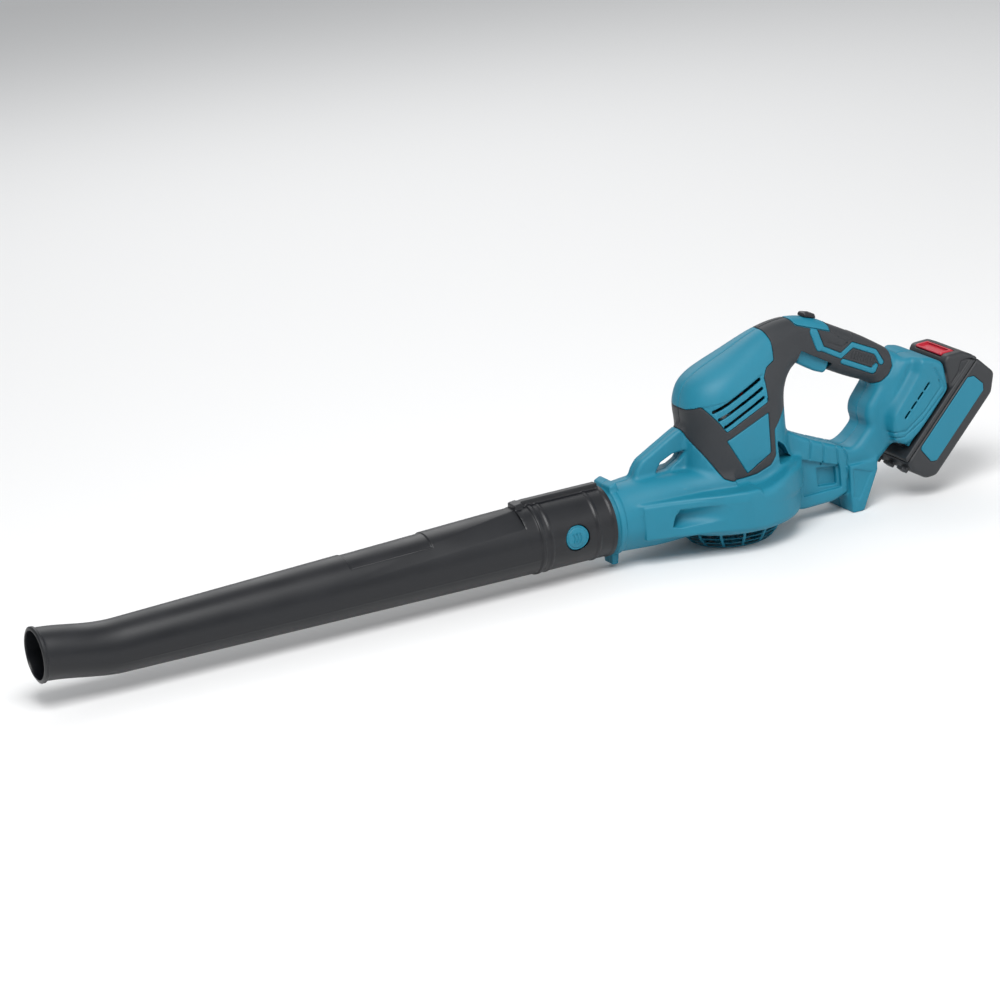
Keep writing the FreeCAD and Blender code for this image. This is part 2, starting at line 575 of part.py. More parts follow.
def make_motor():
    """Brushed motor standing on its plate, shaft down."""
    top = MOTOR_BASE + MOTOR_LENGTH
    plate = disc(37.5, 67.3, MOTOR_BASE).cut(disc(8, 60, 80))
    screw_spots = [(15, 0), (-15, 0)]
    screws = []
    for x, y in screw_spots:
        screws.append(disc(1.9, 64.6, MOTOR_BASE + 4, x, y).fuse(disc(3.4, 62.6, 64.6, x, y)))
    plate = fused_cut(plate, [disc(1.9, 60, 80, x, y) for x, y in screw_spots])
    keep("motor_plate", plate)
    keep("motor_screws", group(screws))
    can = disc(MOTOR_R, MOTOR_BASE, top).cut(disc(MOTOR_R - 1.6, MOTOR_BASE + 3.0, top + 1))
    can = fused_cut(can, [disc(6.6, 60, 80)] + [disc(1.9, 60, 80, x, y) for x, y in screw_spots])
    keep("motor_can", can)
    cap = disc(MOTOR_R, top, top + 3).fuse(disc(9, top, top + 8)).cut(disc(6.6, top - 1, top + 6))
    keep("motor_end_cap", cap.cut(disc(3.5, top, top + 20)))
    magnets = disc(MOTOR_R - 1.6, MOTOR_BASE + 10, top - 14).cut(disc(MOTOR_R - 5, MOTOR_BASE, top))
    gap = Part.makeBox(100, 12, 100, V(-50, -6, 50))
    keep("motor_magnets", magnets.cut(gap))
    for name, base in (("bearing_lower", MOTOR_BASE + 0.2), ("bearing_upper", top + 0.6)):
        keep(name, disc(6.6, base, base + 5).cut(disc(SHAFT_R + 0.06, base - 1, base + 6)))
    keep("armature_shaft", disc(SHAFT_R, FAN_BOTTOM, top + 7.0))
    core = disc(MOTOR_R - 5.8, MOTOR_BASE + 12, top - 18).cut(disc(SHAFT_R, 0, 200))
    turns = [math.radians(30 * i) for i in range(12)]
    slots = [disc(2.0, 60, 160, 15.4 * math.cos(turn), 15.4 * math.sin(turn)) for turn in turns]
    keep("armature_core", fused_cut(core, slots))
    keep("commutator", disc(8, top - 13, top - 2).cut(disc(SHAFT_R, 0, 200)))
    brushes = [Part.makeBox(10, 5, 6, V(x, -2.5, top - 11)) for x in (8.3, -18.3)]
    keep("carbon_brushes", group(brushes))
    ring = disc(MOTOR_R + 5, top - 12, top - 5).cut(disc(MOTOR_R, top - 13, top))
    keep("motor_ring", ring)


# ---------------------------------------------------------------- controls
def handle_box(low, high):
    """Box in handle coordinates: u to the rear, y across, w out of the handle's underside."""
    return tilted_box(SWITCH_ORIGIN, HANDLE_TILT, low, high)


def make_controls():
    """Trigger, switch, slider, board and leads."""
    blade = slab(turned(SWITCH_ORIGIN, HANDLE_TILT,
                        [(-15.6, 12), (-15.6, 24), (-8, 27), (14, 27.5), (20, 23), (20, 12)]),
                 [0.5, 4, 6, 6, 3, 0.5], 9.2, 1.5)
    flange = handle_box((-15.6, -12, 12), (20, 12, 14.6))
    keep("trigger", blade.fuse(flange))
    keep("switch_unit", handle_box((-10, -11, -13), (30, 11, 2.5)))
    spring_end = SWITCH_ORIGIN + along(HANDLE_TILT, 4, 11.6)
    keep("trigger_spring", coil(3.6, 0.4, 1.9, 8.6, spring_end, -down(HANDLE_TILT)))
    knob = slab(turned(SLIDER_ORIGIN, SLIDER_TILT, [(-7, -1.0), (-5, -5.5), (4, -6), (7, -1.0)]),
                1.2, 6.0, 1.0)
    neck = tilted_box(SLIDER_ORIGIN, SLIDER_TILT, (-3.6, -3.2, -1.5), (3.6, 3.2, 5.6))
    foot = tilted_box(SLIDER_ORIGIN, SLIDER_TILT, (-9, -6, 5.0), (7, 6, 6.4))
    keep("slider_knob", fused([knob, neck, foot]))
    keep("control_board", bat_box((26, -24, -18), (62, 24, -16.4)))
    motor_top = MOTOR_BASE + MOTOR_LENGTH + 3
    motor_leads = []
    battery_leads = []
    for side in (-1, 1):
        motor_leads.append(lead([(101, side * 5, 190.5), (66, side * 7, 187), (30, side * 8, 172),
                                 (14, side * 14, motor_top + 1)], 1.3, 8))
        battery_leads.append(lead([(136, side * 5, 164.5), (172, side * 6, 145), (193, side * 7, 126),
                                   (201, side * 8, 104), (190, side * 8, 83)], 1.5, 9))
    keep("motor_leads", group(motor_leads))
    keep("battery_leads", group(battery_leads))


def along(tilt, u, w):
    """Offset in a frame turned about Y."""
    return V(u * math.cos(tilt) + w * math.sin(tilt), 0, u * math.sin(tilt) - w * math.cos(tilt))


def down(tilt):
    """Unit vector square to a tilt, downward."""
    return along(tilt, 0, 1)


# ---------------------------------------------------------------- battery
CELL_R = 8.9
CELL_LENGTH = 65.0
CASE_OUTLINE = [(-15, 9.6), (-19, 22), (-15, 40), (-6, 48), (96, 48), (114, 37), (114, 9.6)]
SHOULDER = [(72.0, 3.6), (89.8, -18.6), (96.7, -19.8), (110, -7.2), (114, 4), (114, 9.6), (72.0, 9.6)]


def make_battery():
    """Slide-on pack: two case halves, rails, cells, board, side plates, release button and latch."""
    lower = bat_slab(CASE_OUTLINE, [2, 6, 6, 8, 8, 8, 2], BATTERY_HALF_WIDTH, 3.0)
    lower = lower.cut(bat_slab([(-12.5, 0), (-15.5, 22), (-12, 37), (-5, 45.6),
                                (95, 45.6), (111.5, 36), (111.5, 0)],
                               [1, 5, 5, 6, 6, 6, 1], BATTERY_HALF_WIDTH - 2.4))
    label = [(4.3, 14.5), (7, 12.8), (92, 12.8), (97, 18), (97, 32), (92, 37), (6, 37), (1.5, 32)]
    plates = []
    for name, side in (("left", -1), ("right", 1)):
        plate = bat_slab(label, 1.5, 0.9, 0.0, side * (BATTERY_HALF_WIDTH - 0.7))
        plates.append(plate)
        keep("battery_plate_" + name, plate)
    keep("battery_case_lower", fused_cut(lower, plates))

    lid = bat_slab([(-13, 4.6), (-15, 9.6), (114, 9.6), (114, 4.6)],
                   [2, 0.5, 0.5, 2], BATTERY_HALF_WIDTH, 0.0)
    rails = bat_box((5, -33.2, -9.2), (90, 33.2, -0.8)).fuse(bat_box((5, -26.2, -1.5), (90, 26.2, 5)))
    shoulder = bat_slab(SHOULDER, [1, 3, 2, 8, 5, 0.5, 0.5], BATTERY_HALF_WIDTH - 3, 4.0)
    top = fused([lid, rails, shoulder])
    clear_front = bat_slab([(50, -40), (50, 3.2), (71.8, 3.2), (89.6, -19), (96, -40)], 0.5, 60)
    keep_rails = bat_box((5, -33.2, -9.2), (90, 33.2, 5))
    top = top.cut(clear_front.cut(keep_rails))
    top = top.cut(bat_box((9, -30, -6.4), (86, 30, 10)))
    for i in range(4):
        y = -18 + 12 * i
        top = top.cut(bat_box((4, y - 1.5, -8.4), (22, y + 1.5, 2)))
    pocket = bat_slab([(94.2, -3), (94.2, -40), (107.2, -40), (107.2, -3)], 0.5, 24.4)
    tongue_slot = bat_box((76, -9.4, -12), (98.4, 9.4, 5.2))
    board_room = bat_box((0, -33, 5.3), (103, 33, 10))
    top = fused_cut(top, [pocket, tongue_slot, board_room])
    keep("battery_case_upper", top)

    cells = []
    for row, w in enumerate((18.9, 36.7)):
        for i in range(5):
            start = BATTERY_ORIGIN + along(BATTERY_TILT, 11 + 18.6 * i, w) + V(0, -CELL_LENGTH / 2, 0)
            cells.append(Part.makeCylinder(CELL_R, CELL_LENGTH, start, V(0, 1, 0)))
    keep("battery_cells", group(cells))
    keep("battery_board", bat_box((2, -32, 5.6), (100, 32, 7.2)))

    button = bat_slab([(94.6, -7), (94.6, -20.6), (97.4, -20.6), (106.8, -11.6), (106.8, -7)],
                      [0.5, 1, 1, 1, 0.5], 24.0, 0.0)
    dish = bat_slab([(96.6, -18.4), (96.6, -40), (105.2, -40), (105.2, -10.4)], 0.5, 20.0)
    arm = bat_box((76.4, -9, -2.0), (98, 9, 1.0)).fuse(bat_box((95, -9, -7), (98, 9, 1.0)))
    nose = bat_box((76.4, -9, -9.0), (80.4, 9, -1.5))
    keep("battery_release_button", button.cut(dish))
    keep("battery_latch", arm.fuse(nose))
    base = BATTERY_ORIGIN + along(BATTERY_TILT, 84, 1.4)
    keep("release_spring", coil(2.8, 0.35, 1.1, 3.2, base, down(BATTERY_TILT)))

    blades = [bat_box((0.0, -18 + 12 * i - 0.5, -7.5), (17, -18 + 12 * i + 0.5, 0.5)) for i in range(4)]
    body = bat_box((-2.7, -26, -9.2), (2.5, 26, 3.6))
    keep("terminal_block", fused_cut(body, blades))
    keep("terminal_blades", group(blades))


def write_all():
    """Write every node to its own file."""
    os.makedirs("parts", exist_ok=True)
    for name, shape in NODES.items():
        shape.exportStep("parts/" + name + ".step")
        box = shape.BoundBox
        print("%-24s %2d %s %9.1f" % (name, len(shape.Solids), shape.isValid(), shape.Volume),
              "x %.1f %.1f y %.1f %.1f z %.1f %.1f" % (box.XMin, box.XMax, box.YMin, box.YMax, box.ZMin, box.ZMax))


make_nozzle()
make_lock_button()
make_housing()
make_grille()
make_fan()
make_motor()
make_controls()
make_battery()
write_all()
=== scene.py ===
"""Looks of a cordless leaf blower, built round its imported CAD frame.

Moulded shapes are sampled as distance fields in millimetres, where parts blend into each other
with soft fillets, and are then meshed. The row frame has +X to the battery, +Y to the tool's right
and +Z up.
"""

import json
import logging
import math
from dataclasses import dataclass, field
from enum import Enum
from typing import Callable, Optional, Sequence

import bpy
import numpy as np
import openvdb
from mathutils import Matrix, Vector


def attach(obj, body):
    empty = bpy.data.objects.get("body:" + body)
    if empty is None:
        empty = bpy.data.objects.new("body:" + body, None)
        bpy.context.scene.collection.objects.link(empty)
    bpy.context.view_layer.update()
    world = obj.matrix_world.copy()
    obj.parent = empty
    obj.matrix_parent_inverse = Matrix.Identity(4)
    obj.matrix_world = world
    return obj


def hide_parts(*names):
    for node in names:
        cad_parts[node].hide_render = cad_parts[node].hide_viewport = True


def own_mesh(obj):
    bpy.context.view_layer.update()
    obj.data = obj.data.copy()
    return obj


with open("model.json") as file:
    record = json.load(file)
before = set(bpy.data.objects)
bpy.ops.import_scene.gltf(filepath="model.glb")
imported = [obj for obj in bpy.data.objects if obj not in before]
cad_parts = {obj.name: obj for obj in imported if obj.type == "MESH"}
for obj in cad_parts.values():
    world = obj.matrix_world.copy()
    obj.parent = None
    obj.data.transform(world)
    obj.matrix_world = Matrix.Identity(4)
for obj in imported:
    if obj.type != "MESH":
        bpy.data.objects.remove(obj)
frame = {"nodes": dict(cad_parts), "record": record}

LOG = logging.getLogger("blower")
MM = 0.001
TUBE_Z = 49.0            # height of the spigot's axis, millimetres like all that follow
LOCK_X = -187.0          # centre of the nozzle's lock button
SPIGOT_R = 32.9
AIR_WAY_R = 30.3         # bore of the spigot
SLEEVE_R = 35.4
TAPER_START = -226.0     # X where the nozzle's straight taper begins
TAPER_R = 35.0           # outer radius there
TAPER = 0.0196           # radius lost per millimetre towards the tip
DROOP = 0.0107           # height lost per millimetre towards the tip
TIP_LIFT = 11.0          # rise of the bent tip
VOLUTE_R = 73.0
VOLUTE_BOTTOM = 22
SIDE_LIMIT = 72.95       # half width that the housing stays inside

Point2 = tuple[float, float]
Point3 = tuple[float, float, float]


class Body(str, Enum):
    """Bodies of the CAD frame that carry a piece made here."""

    HOUSING = "housing"
    NOZZLE = "nozzle"
    NOZZLE_BUTTON = "nozzle_button"
    TRIGGER = "trigger"
    SLIDER = "slider"
    BATTERY = "battery"
    RELEASE = "battery_release"


class Slot(str, Enum):
    """Material slots of the record."""

    TEAL = "teal_plastic"
    PLATE = "teal_plate"
    BLACK = "black_plastic"
    DARK = "dark_plastic"
    RUBBER = "grip_rubber"
    RED = "red_plastic"
    FAN = "fan_plastic"
    SCREW = "screw_steel"
    SPRING = "spring_steel"
    ZINC = "zinc_plate"
    CORE = "core_steel"
    COPPER = "copper"
    BLADE = "brass_blade"
    FERRITE = "ferrite"
    BOARD = "board_green"
    LEAD_RED = "lead_red"
    LEAD_BLACK = "lead_black"
    CELL = "cell_sleeve"


# ---------------------------------------------------------------- finishes
def linear(colour: str) -> tuple[float, float, float, float]:
    """Linear colour of a hex sRGB colour.

    Args:
        colour: six hex digits after a hash.

    Returns:
        Red, green, blue and alpha, each 0 to 1.
    """
    values = [int(colour[i:i + 2], 16) / 255 for i in (1, 3, 5)]
    values = [v / 12.92 if v <= 0.04045 else ((v + 0.055) / 1.055) ** 2.4 for v in values]
    return (*values, 1.0)


def add_node(tree: bpy.types.NodeTree, kind: str, values: Optional[dict] = None,
             **settings) -> bpy.types.Node:
    """Add one node to a tree.

    Args:
        tree: node tree that takes the node.
        kind: Blender's node type name.
        values: socket name to constant value or to the output socket that feeds it.
        settings: attributes of the node itself.

    Returns:
        The new node.
    """
    node = tree.nodes.new(kind)
    for name, value in settings.items():
        setattr(node, name, value)
    for name, value in (values or {}).items():
        socket = node.inputs[name]
        if isinstance(value, bpy.types.NodeSocket):
            tree.links.new(value, socket)
        else:
            socket.default_value = value
    return node


@dataclass(frozen=True)
class Finish:
    """Procedural moulded, rubber or metal surface.

    Args:
        slot: material slot it belongs to.
        colour: hex colour.
        roughness: mean roughness.
        grain_mm: size of the surface grain.
        relief_mm: height of the grain.
        metallic: 1 for bare metal.
        patchiness: how far brightness drifts over a few centimetres.
        sheen: soft dusty light at grazing angles.
    """

    slot: Slot
    colour: str
    roughness: float = 0.5
    grain_mm: float = 0.6
    relief_mm: float = 0.02
    metallic: float = 0.0
    patchiness: float = 0.04
    sheen: float = 0.0

    def material(self) -> bpy.types.Material:
        """Build the material once and hand it out again after that."""
        found = bpy.data.materials.get("finish_" + self.slot.value)
        if found:
            return found
        made = bpy.data.materials.new("finish_" + self.slot.value)
        made.use_nodes = True
        tree = made.node_tree
        tree.nodes.clear()
        place = add_node(tree, "ShaderNodeTexCoord").outputs["Object"]
        broad = add_node(tree, "ShaderNodeTexNoise", {
            "Vector": place, "Scale": 22.0, "Detail": 3.0})
        drift = add_node(tree, "ShaderNodeMapRange", {
            "Value": broad.outputs["Fac"], "From Min": 0.3, "From Max": 0.7,
            "To Min": 1 - self.patchiness, "To Max": 1 + self.patchiness})
        base = linear(self.colour)
        tint = add_node(tree, "ShaderNodeVectorMath", {0: base[:3]}, operation="SCALE")
        tree.links.new(drift.outputs["Result"], tint.inputs["Scale"])
        grain = add_node(tree, "ShaderNodeTexNoise", {
            "Vector": place, "Scale": 1 / (self.grain_mm * MM), "Detail": 2.0, "Roughness": 0.6})
        gloss = add_node(tree, "ShaderNodeMapRange", {
            "Value": broad.outputs["Fac"], "From Min": 0.3, "From Max": 0.7,
            "To Min": self.roughness - 0.05, "To Max": min(1.0, self.roughness + 0.05)})
        bump = add_node(tree, "ShaderNodeBump", {
            "Height": grain.outputs["Fac"], "Strength": 0.5, "Distance": self.relief_mm * MM})
        shader = add_node(tree, "ShaderNodeBsdfPrincipled", {
            "Base Color": tint.outputs["Vector"], "Roughness": gloss.outputs["Result"],
            "Metallic": self.metallic, "Normal": bump.outputs["Normal"],
            "Sheen Weight": self.sheen, "Specular IOR Level": 0.45})
        add_node(tree, "ShaderNodeOutputMaterial", {"Surface": shader.outputs["BSDF"]})
        return made


FINISHES = {finish.slot: finish for finish in (
    Finish(Slot.TEAL, "#10728a", 0.52, 0.5, 0.02),
    Finish(Slot.PLATE, "#10728a", 0.45, 0.5, 0.01, patchiness=0.02),
    Finish(Slot.BLACK, "#0d0f14", 0.40, 0.6, 0.03, patchiness=0.08),
    Finish(Slot.DARK, "#292b2e", 0.48, 0.5, 0.03),
    Finish(Slot.RUBBER, "#25282c", 0.60, 0.4, 0.04, sheen=0.06),
    Finish(Slot.RED, "#b01c30", 0.42, 0.5, 0.01),
    Finish(Slot.FAN, "#1b1b1d", 0.50),
    Finish(Slot.SCREW, "#a4a6a8", 0.34, 0.3, 0.01, metallic=1.0),
    Finish(Slot.SPRING, "#b8b9ba", 0.25, 0.3, 0.0, metallic=1.0),
    Finish(Slot.ZINC, "#9da1a4", 0.38, 0.5, 0.01, metallic=1.0),
    Finish(Slot.CORE, "#66676a", 0.50, 0.4, 0.02, metallic=1.0),
    Finish(Slot.COPPER, "#c77d4a", 0.32, 0.4, 0.01, metallic=1.0),
    Finish(Slot.BLADE, "#c9a352", 0.30, 0.4, 0.01, metallic=1.0),
    Finish(Slot.FERRITE, "#29292b", 0.60, 0.4, 0.03),
    Finish(Slot.BOARD, "#12502c", 0.45, 0.8, 0.01),
    Finish(Slot.LEAD_RED, "#8f1717", 0.45, 0.5, 0.01),
    Finish(Slot.LEAD_BLACK, "#161616", 0.45, 0.5, 0.01),
    Finish(Slot.CELL, "#20618f", 0.30, 0.5, 0.0),
)}


# ---------------------------------------------------------------- distance fields
@dataclass
class Block:
    """Box of sample points for one moulded shape.

    Args:
        low: lowest corner in millimetres, in the block's own (u, y, w) axes.
        high: highest corner.
        step: spacing of the samples.
        origin: row-frame point of the block's zero, in millimetres.
        tilt: turn about -Y from the row frame, in radians.
        flip: whether the block's third axis runs down instead of up.
    """

    low: Point3
    high: Point3
    step: float
    origin: Point3 = (0.0, 0.0, 0.0)
    tilt: float = 0.0
    flip: bool = False
    u: np.ndarray = field(init=False, repr=False)
    y: np.ndarray = field(init=False, repr=False)
    w: np.ndarray = field(init=False, repr=False)

    def __post_init__(self) -> None:
        """Lay out the sample positions along the three axes."""
        axes = []
        for low, high in zip(self.low, self.high):
            count = int(round((high - low) / self.step)) + 1
            axes.append((low + self.step * np.arange(count)).astype(np.float32))
        self.u = axes[0][:, None, None]
        self.y = axes[1][None, :, None]
        self.w = axes[2][None, None, :]

    def place(self, points: np.ndarray) -> np.ndarray:
        """Row-frame points in metres of points in the block's axes."""
        across = -points[:, 2] if self.flip else points[:, 2]
        cos, sin = math.cos(self.tilt), math.sin(self.tilt)
        x = points[:, 0] * cos - across * sin + self.origin[0]
        z = points[:, 0] * sin + across * cos + self.origin[2]
        return np.stack([x, points[:, 1] + self.origin[1], z], 1) * MM

    def outline(self, points: Sequence[Point2], soft: float = 0.0) -> np.ndarray:
        """Signed distance to a closed side-view outline, negative inside.

        Args:
            points: corners in (u, w).
            soft: blur in millimetres that rounds its corners.

        Returns:
            Distances over the block's u and w axes.
        """
        corners = np.array(points, float)
        u, w = self.u.astype(float), self.w.astype(float)
        nearest = np.full(np.broadcast(u, w).shape, np.inf)
        inside = np.zeros(nearest.shape, bool)
        for (ax, az), (bx, bz) in zip(corners, np.roll(corners, -1, 0)):
            nearest = np.minimum(nearest, segment_square(u, w, ax, az, bx, bz))
            if abs(bz - az) > 1e-9:
                crossing = (az > w) != (bz > w)
                inside ^= crossing & (u < (bx - ax) * (w - az) / (bz - az) + ax)
        distance = np.sqrt(nearest) * np.where(inside, -1, 1)
        return self.soften(distance.astype(np.float32), soft)

    def stroke(self, points: Sequence[Point2], width: float) -> np.ndarray:
        """Signed distance to an open side-view line of a given width with round ends."""
        nearest = None
        for (ax, az), (bx, bz) in zip(points, points[1:]):
            square = segment_square(self.u, self.w, ax, az, bx, bz)
            nearest = square if nearest is None else np.minimum(nearest, square)
        return (np.sqrt(nearest) - width / 2).astype(np.float32)

    def soften(self, side: np.ndarray, radius: float) -> np.ndarray:
        """Gaussian blur of a side-view field over a radius in millimetres."""
        sigma = radius / self.step
        if sigma < 0.3:
            return side
        reach = int(math.ceil(3 * sigma))
        weights = np.exp(-0.5 * (np.arange(-reach, reach + 1) / sigma) ** 2)
        weights /= weights.sum()
        for axis in (0, 2):
            room = [(0, 0)] * 3
            room[axis] = (reach, reach)
            padded = np.pad(side, room, mode="reflect", reflect_type="odd")
            total = np.zeros_like(side)
            for i, weight in enumerate(weights):
                window = [slice(None)] * 3
                window[axis] = slice(i, i + side.shape[axis])
                total += weight * padded[tuple(window)]
            side = total.astype(np.float32)
        return side

    def slab(self, side: np.ndarray, half_width, edge: float) -> np.ndarray:
        """Side-view field extruded across Y with its two outlines rounded over."""
        across = np.abs(self.y) - half_width + edge
        along = side + edge
        return outside_length(along, across) + np.minimum(np.maximum(along, across), 0) - edge

    def box(self, low: Point3, high: Point3, edge: float = 0.0) -> np.ndarray:
        """Box between two corners with rounded edges."""
        parts = []
        for axis, a, b in zip((self.u, self.y, self.w), low, high):
            parts.append(np.abs(axis - (a + b) / 2) - (b - a) / 2 + edge)
        outer = np.sqrt(sum(np.maximum(part, 0) ** 2 for part in parts))
        inner = np.minimum(np.maximum(np.maximum(parts[0], parts[1]), parts[2]), 0)
        return outer + inner - edge

    def from_fan(self) -> np.ndarray:
        """Distance of each sample from the fan's upright axis."""
        return np.sqrt(self.u ** 2 + self.y ** 2)

    def from_tube(self) -> np.ndarray:
        """Distance of each sample from the axis of the spigot and the sleeve."""
        return np.sqrt(self.y ** 2 + (self.w - TUBE_Z) ** 2)

    def from_lock(self) -> np.ndarray:
        """Distance of each sample from the lock button's axis."""
        return np.sqrt((self.u - LOCK_X) ** 2 + (self.w - TUBE_Z) ** 2)

    def tilted(self, origin: Point2, tilt: float) -> "Block":
        """The same samples seen in a frame turned about Y, with its third axis down."""
        turned = Block((0, 0, 0), (0, 0, 0), self.step)
        along, up = self.u - origin[0], self.w - origin[1]
        turned.u = along * math.cos(tilt) + up * math.sin(tilt)
        turned.w = along * math.sin(tilt) - up * math.cos(tilt)
        turned.y = self.y
        return turned

    def sweep(self, sections: Sequence[tuple]) -> np.ndarray:
        """Rounded bar through fanned sections of the side view.

        Args:
            sections: (outer point, inner point, half width, corner radius) in order along the bar.

        Returns:
            Signed distance over the block, negative inside.
        """
        rows = smooth_rows(np.array([[*a, *b, hw, r] for a, b, hw, r in sections], float), 6)
        middle = (rows[:, 0:2] + rows[:, 2:4]) / 2
        up = rows[:, 0:2] - rows[:, 2:4]
        half = np.linalg.norm(up, axis=1) / 2
        up /= 2 * half[:, None]
        travel = np.stack([up[:, 1], -up[:, 0]], 1)
        u, w = np.broadcast_arrays(self.u.astype(float), self.w.astype(float))
        past = [(u - m[0]) * n[0] + (w - m[1]) * n[1] for m, n in zip(middle, travel)]
        best = np.full(u.shape, 60.0)
        kept = [np.full(u.shape, value) for value in (60.0, 5.0, 5.0, 2.0, 0.0)]
        last = len(rows) - 2
        for i in range(last + 1):
            mask = np.ones(u.shape, bool)
            if i > 0:
                mask &= past[i] >= 0
            if i < last:
                mask &= past[i + 1] < 0
            gap = past[i] - past[i + 1]
            t = np.clip(past[i] / np.where(np.abs(gap) < 1e-6, 1e-6, gap), 0, 1)
            direction = [up[i][k] + (up[i + 1][k] - up[i][k]) * t for k in (0, 1)]
            centre = [middle[i][k] + (middle[i + 1][k] - middle[i][k]) * t for k in (0, 1)]
            height = np.abs((u - centre[0]) * direction[0] + (w - centre[1]) * direction[1])
            tall = half[i] + (half[i + 1] - half[i]) * t
            beyond = np.maximum(-past[i] if i == 0 else -1e3, past[i + 1] if i == last else -1e3)
            score = np.abs(height - tall * 0.5) + np.maximum(beyond, 0)
            mask &= score < best
            best = np.where(mask, score, best)
            wide = rows[i][4] + (rows[i + 1][4] - rows[i][4]) * t
            corner = rows[i][5] + (rows[i + 1][5] - rows[i][5]) * t
            for k, value in enumerate((height, tall, wide, corner, beyond)):
                kept[k] = np.where(mask, value, kept[k])
        height, tall, wide, corner, beyond = [value.astype(np.float32) for value in kept]
        corner = np.minimum(corner, np.minimum(tall, wide) - 0.4)
        a = height - tall + corner
        b = np.abs(self.y) - wide + corner
        bar = outside_length(a, b) + np.minimum(np.maximum(a, b), 0) - corner
        return np.maximum(bar, beyond)


def segment_square(u, w, ax, az, bx, bz) -> np.ndarray:
    """Squared distance from points to a segment of the side view."""
    dx, dz = bx - ax, bz - az
    share = np.clip(((u - ax) * dx + (w - az) * dz) / (dx * dx + dz * dz), 0, 1)
    return (u - ax - share * dx) ** 2 + (w - az - share * dz) ** 2


def smooth_rows(rows: np.ndarray, steps: int) -> np.ndarray:
    """Catmull-Rom subdivision of a table of section values."""
    padded = np.concatenate([2 * rows[:1] - rows[1:2], rows, 2 * rows[-1:] - rows[-2:-1]])
    result = []
    for i in range(1, len(padded) - 2):
        a, b, c, d = padded[i - 1:i + 3]
        for t in np.arange(steps) / steps:
            result.append(0.5 * (2 * b + (c - a) * t + (2 * a - 5 * b + 4 * c - d) * t ** 2
                                 + (3 * b - a - 3 * c + d) * t ** 3))
    result.append(rows[-1])
    return np.array(result)


def outside_length(a: np.ndarray, b: np.ndarray) -> np.ndarray:
    """Length of the positive parts of two distances."""
    return np.sqrt(np.maximum(a, 0) ** 2 + np.maximum(b, 0) ** 2)


def join(a: np.ndarray, b: np.ndarray, fillet: float = 0.0) -> np.ndarray:
    """Union of two fields with a fillet between them."""
    if fillet <= 0:
        return np.minimum(a, b)
    share = np.clip(0.5 + 0.5 * (b - a) / fillet, 0, 1)
    return b + (a - b) * share - fillet * share * (1 - share)


def meet(a: np.ndarray, b: np.ndarray, edge: float = 0.0) -> np.ndarray:
    """Overlap of two fields with a rounded edge."""
    return -join(-a, -b, edge)


def cut(a: np.ndarray, b: np.ndarray, edge: float = 0.0) -> np.ndarray:
    """First field without the second, with a rounded edge."""
    return -join(-a, b, edge)


def carve(solid: np.ndarray, region: np.ndarray, depth: float, edge: float = 0.6) -> np.ndarray:
    """Solid with a side-view region sunk below its surface."""
    return cut(solid, np.maximum(region, -(solid + depth)), edge)


def rounded(a: np.ndarray, b: np.ndarray, edge: float) -> np.ndarray:
    """Overlap of two distances with an exact round edge."""
    return outside_length(a + edge, b + edge) + np.minimum(np.maximum(a + edge, b + edge), 0) - edge


def between(value: np.ndarray, low, high) -> np.ndarray:
    """Distance outside the span from low to high, negative inside it."""
    return np.abs(value - (low + high) / 2) - (high - low) / 2


def ramp(value: np.ndarray) -> np.ndarray:
    """Smooth step from 0 to 1."""
    t = np.clip(value, 0, 1)
    return t * t * (3 - 2 * t)


# ---------------------------------------------------------------- meshes
def new_object(name: str, points: np.ndarray, faces: Sequence, slot: Slot,
               smooth_angle: float = 60.0) -> bpy.types.Object:
    """Mesh object in the scene with one finish.

    Args:
        name: object name.
        points: vertices in metres.
        faces: vertex numbers of each face.
        slot: finish.
        smooth_angle: edges sharper than this many degrees stay sharp.

    Returns:
        The new object, at the origin.
    """
    mesh = bpy.data.meshes.new(name)
    mesh.from_pydata(points.tolist() if isinstance(points, np.ndarray) else points, [], faces)
    mesh.validate()
    mesh.materials.append(FINISHES[slot].material())
    made = bpy.data.objects.new(name, mesh)
    bpy.context.scene.collection.objects.link(made)
    mesh.shade_smooth()
    if smooth_angle < 180:
        mesh.set_sharp_from_angle(angle=math.radians(smooth_angle))
    return made


def mesh_field(name: str, block: Block, values: np.ndarray, slot: Slot, mirror: bool = False,
               smooth_angle: float = 70.0, most: int = 150_000) -> bpy.types.Object:
    """Mesh the zero surface of a field.

    Args:
        name: object name.
        block: where the samples stand.
        values: field over the block, negative inside.
        slot: finish.
        mirror: whether to mesh its mirror image across Y.
        smooth_angle: as in new_object.
        most: most triangles it may have.

    Returns:
        The new object, at the origin.
    """
    full = np.broadcast_to(values, np.broadcast(block.u, block.y, block.w).shape)
    band = 4 * block.step
    padded = np.pad(np.clip(full, -band, band), 1, constant_values=band)
    grid = openvdb.FloatGrid(band)
    grid.copyFromArray(np.ascontiguousarray(padded, np.float32))
    points, quads = grid.convertToQuads(0.0)
    points = (points - 1) * block.step + np.array(block.low)
    if mirror:
        points[:, 1] *= -1
    if mirror != block.flip:
        quads = quads[:, ::-1]
    made = new_object(name, block.place(points), quads.tolist(), slot, smooth_angle)
    thin_out(made, most)
    LOG.info("%s: %d samples, %d faces", name, len(quads), len(made.data.polygons))
    return made


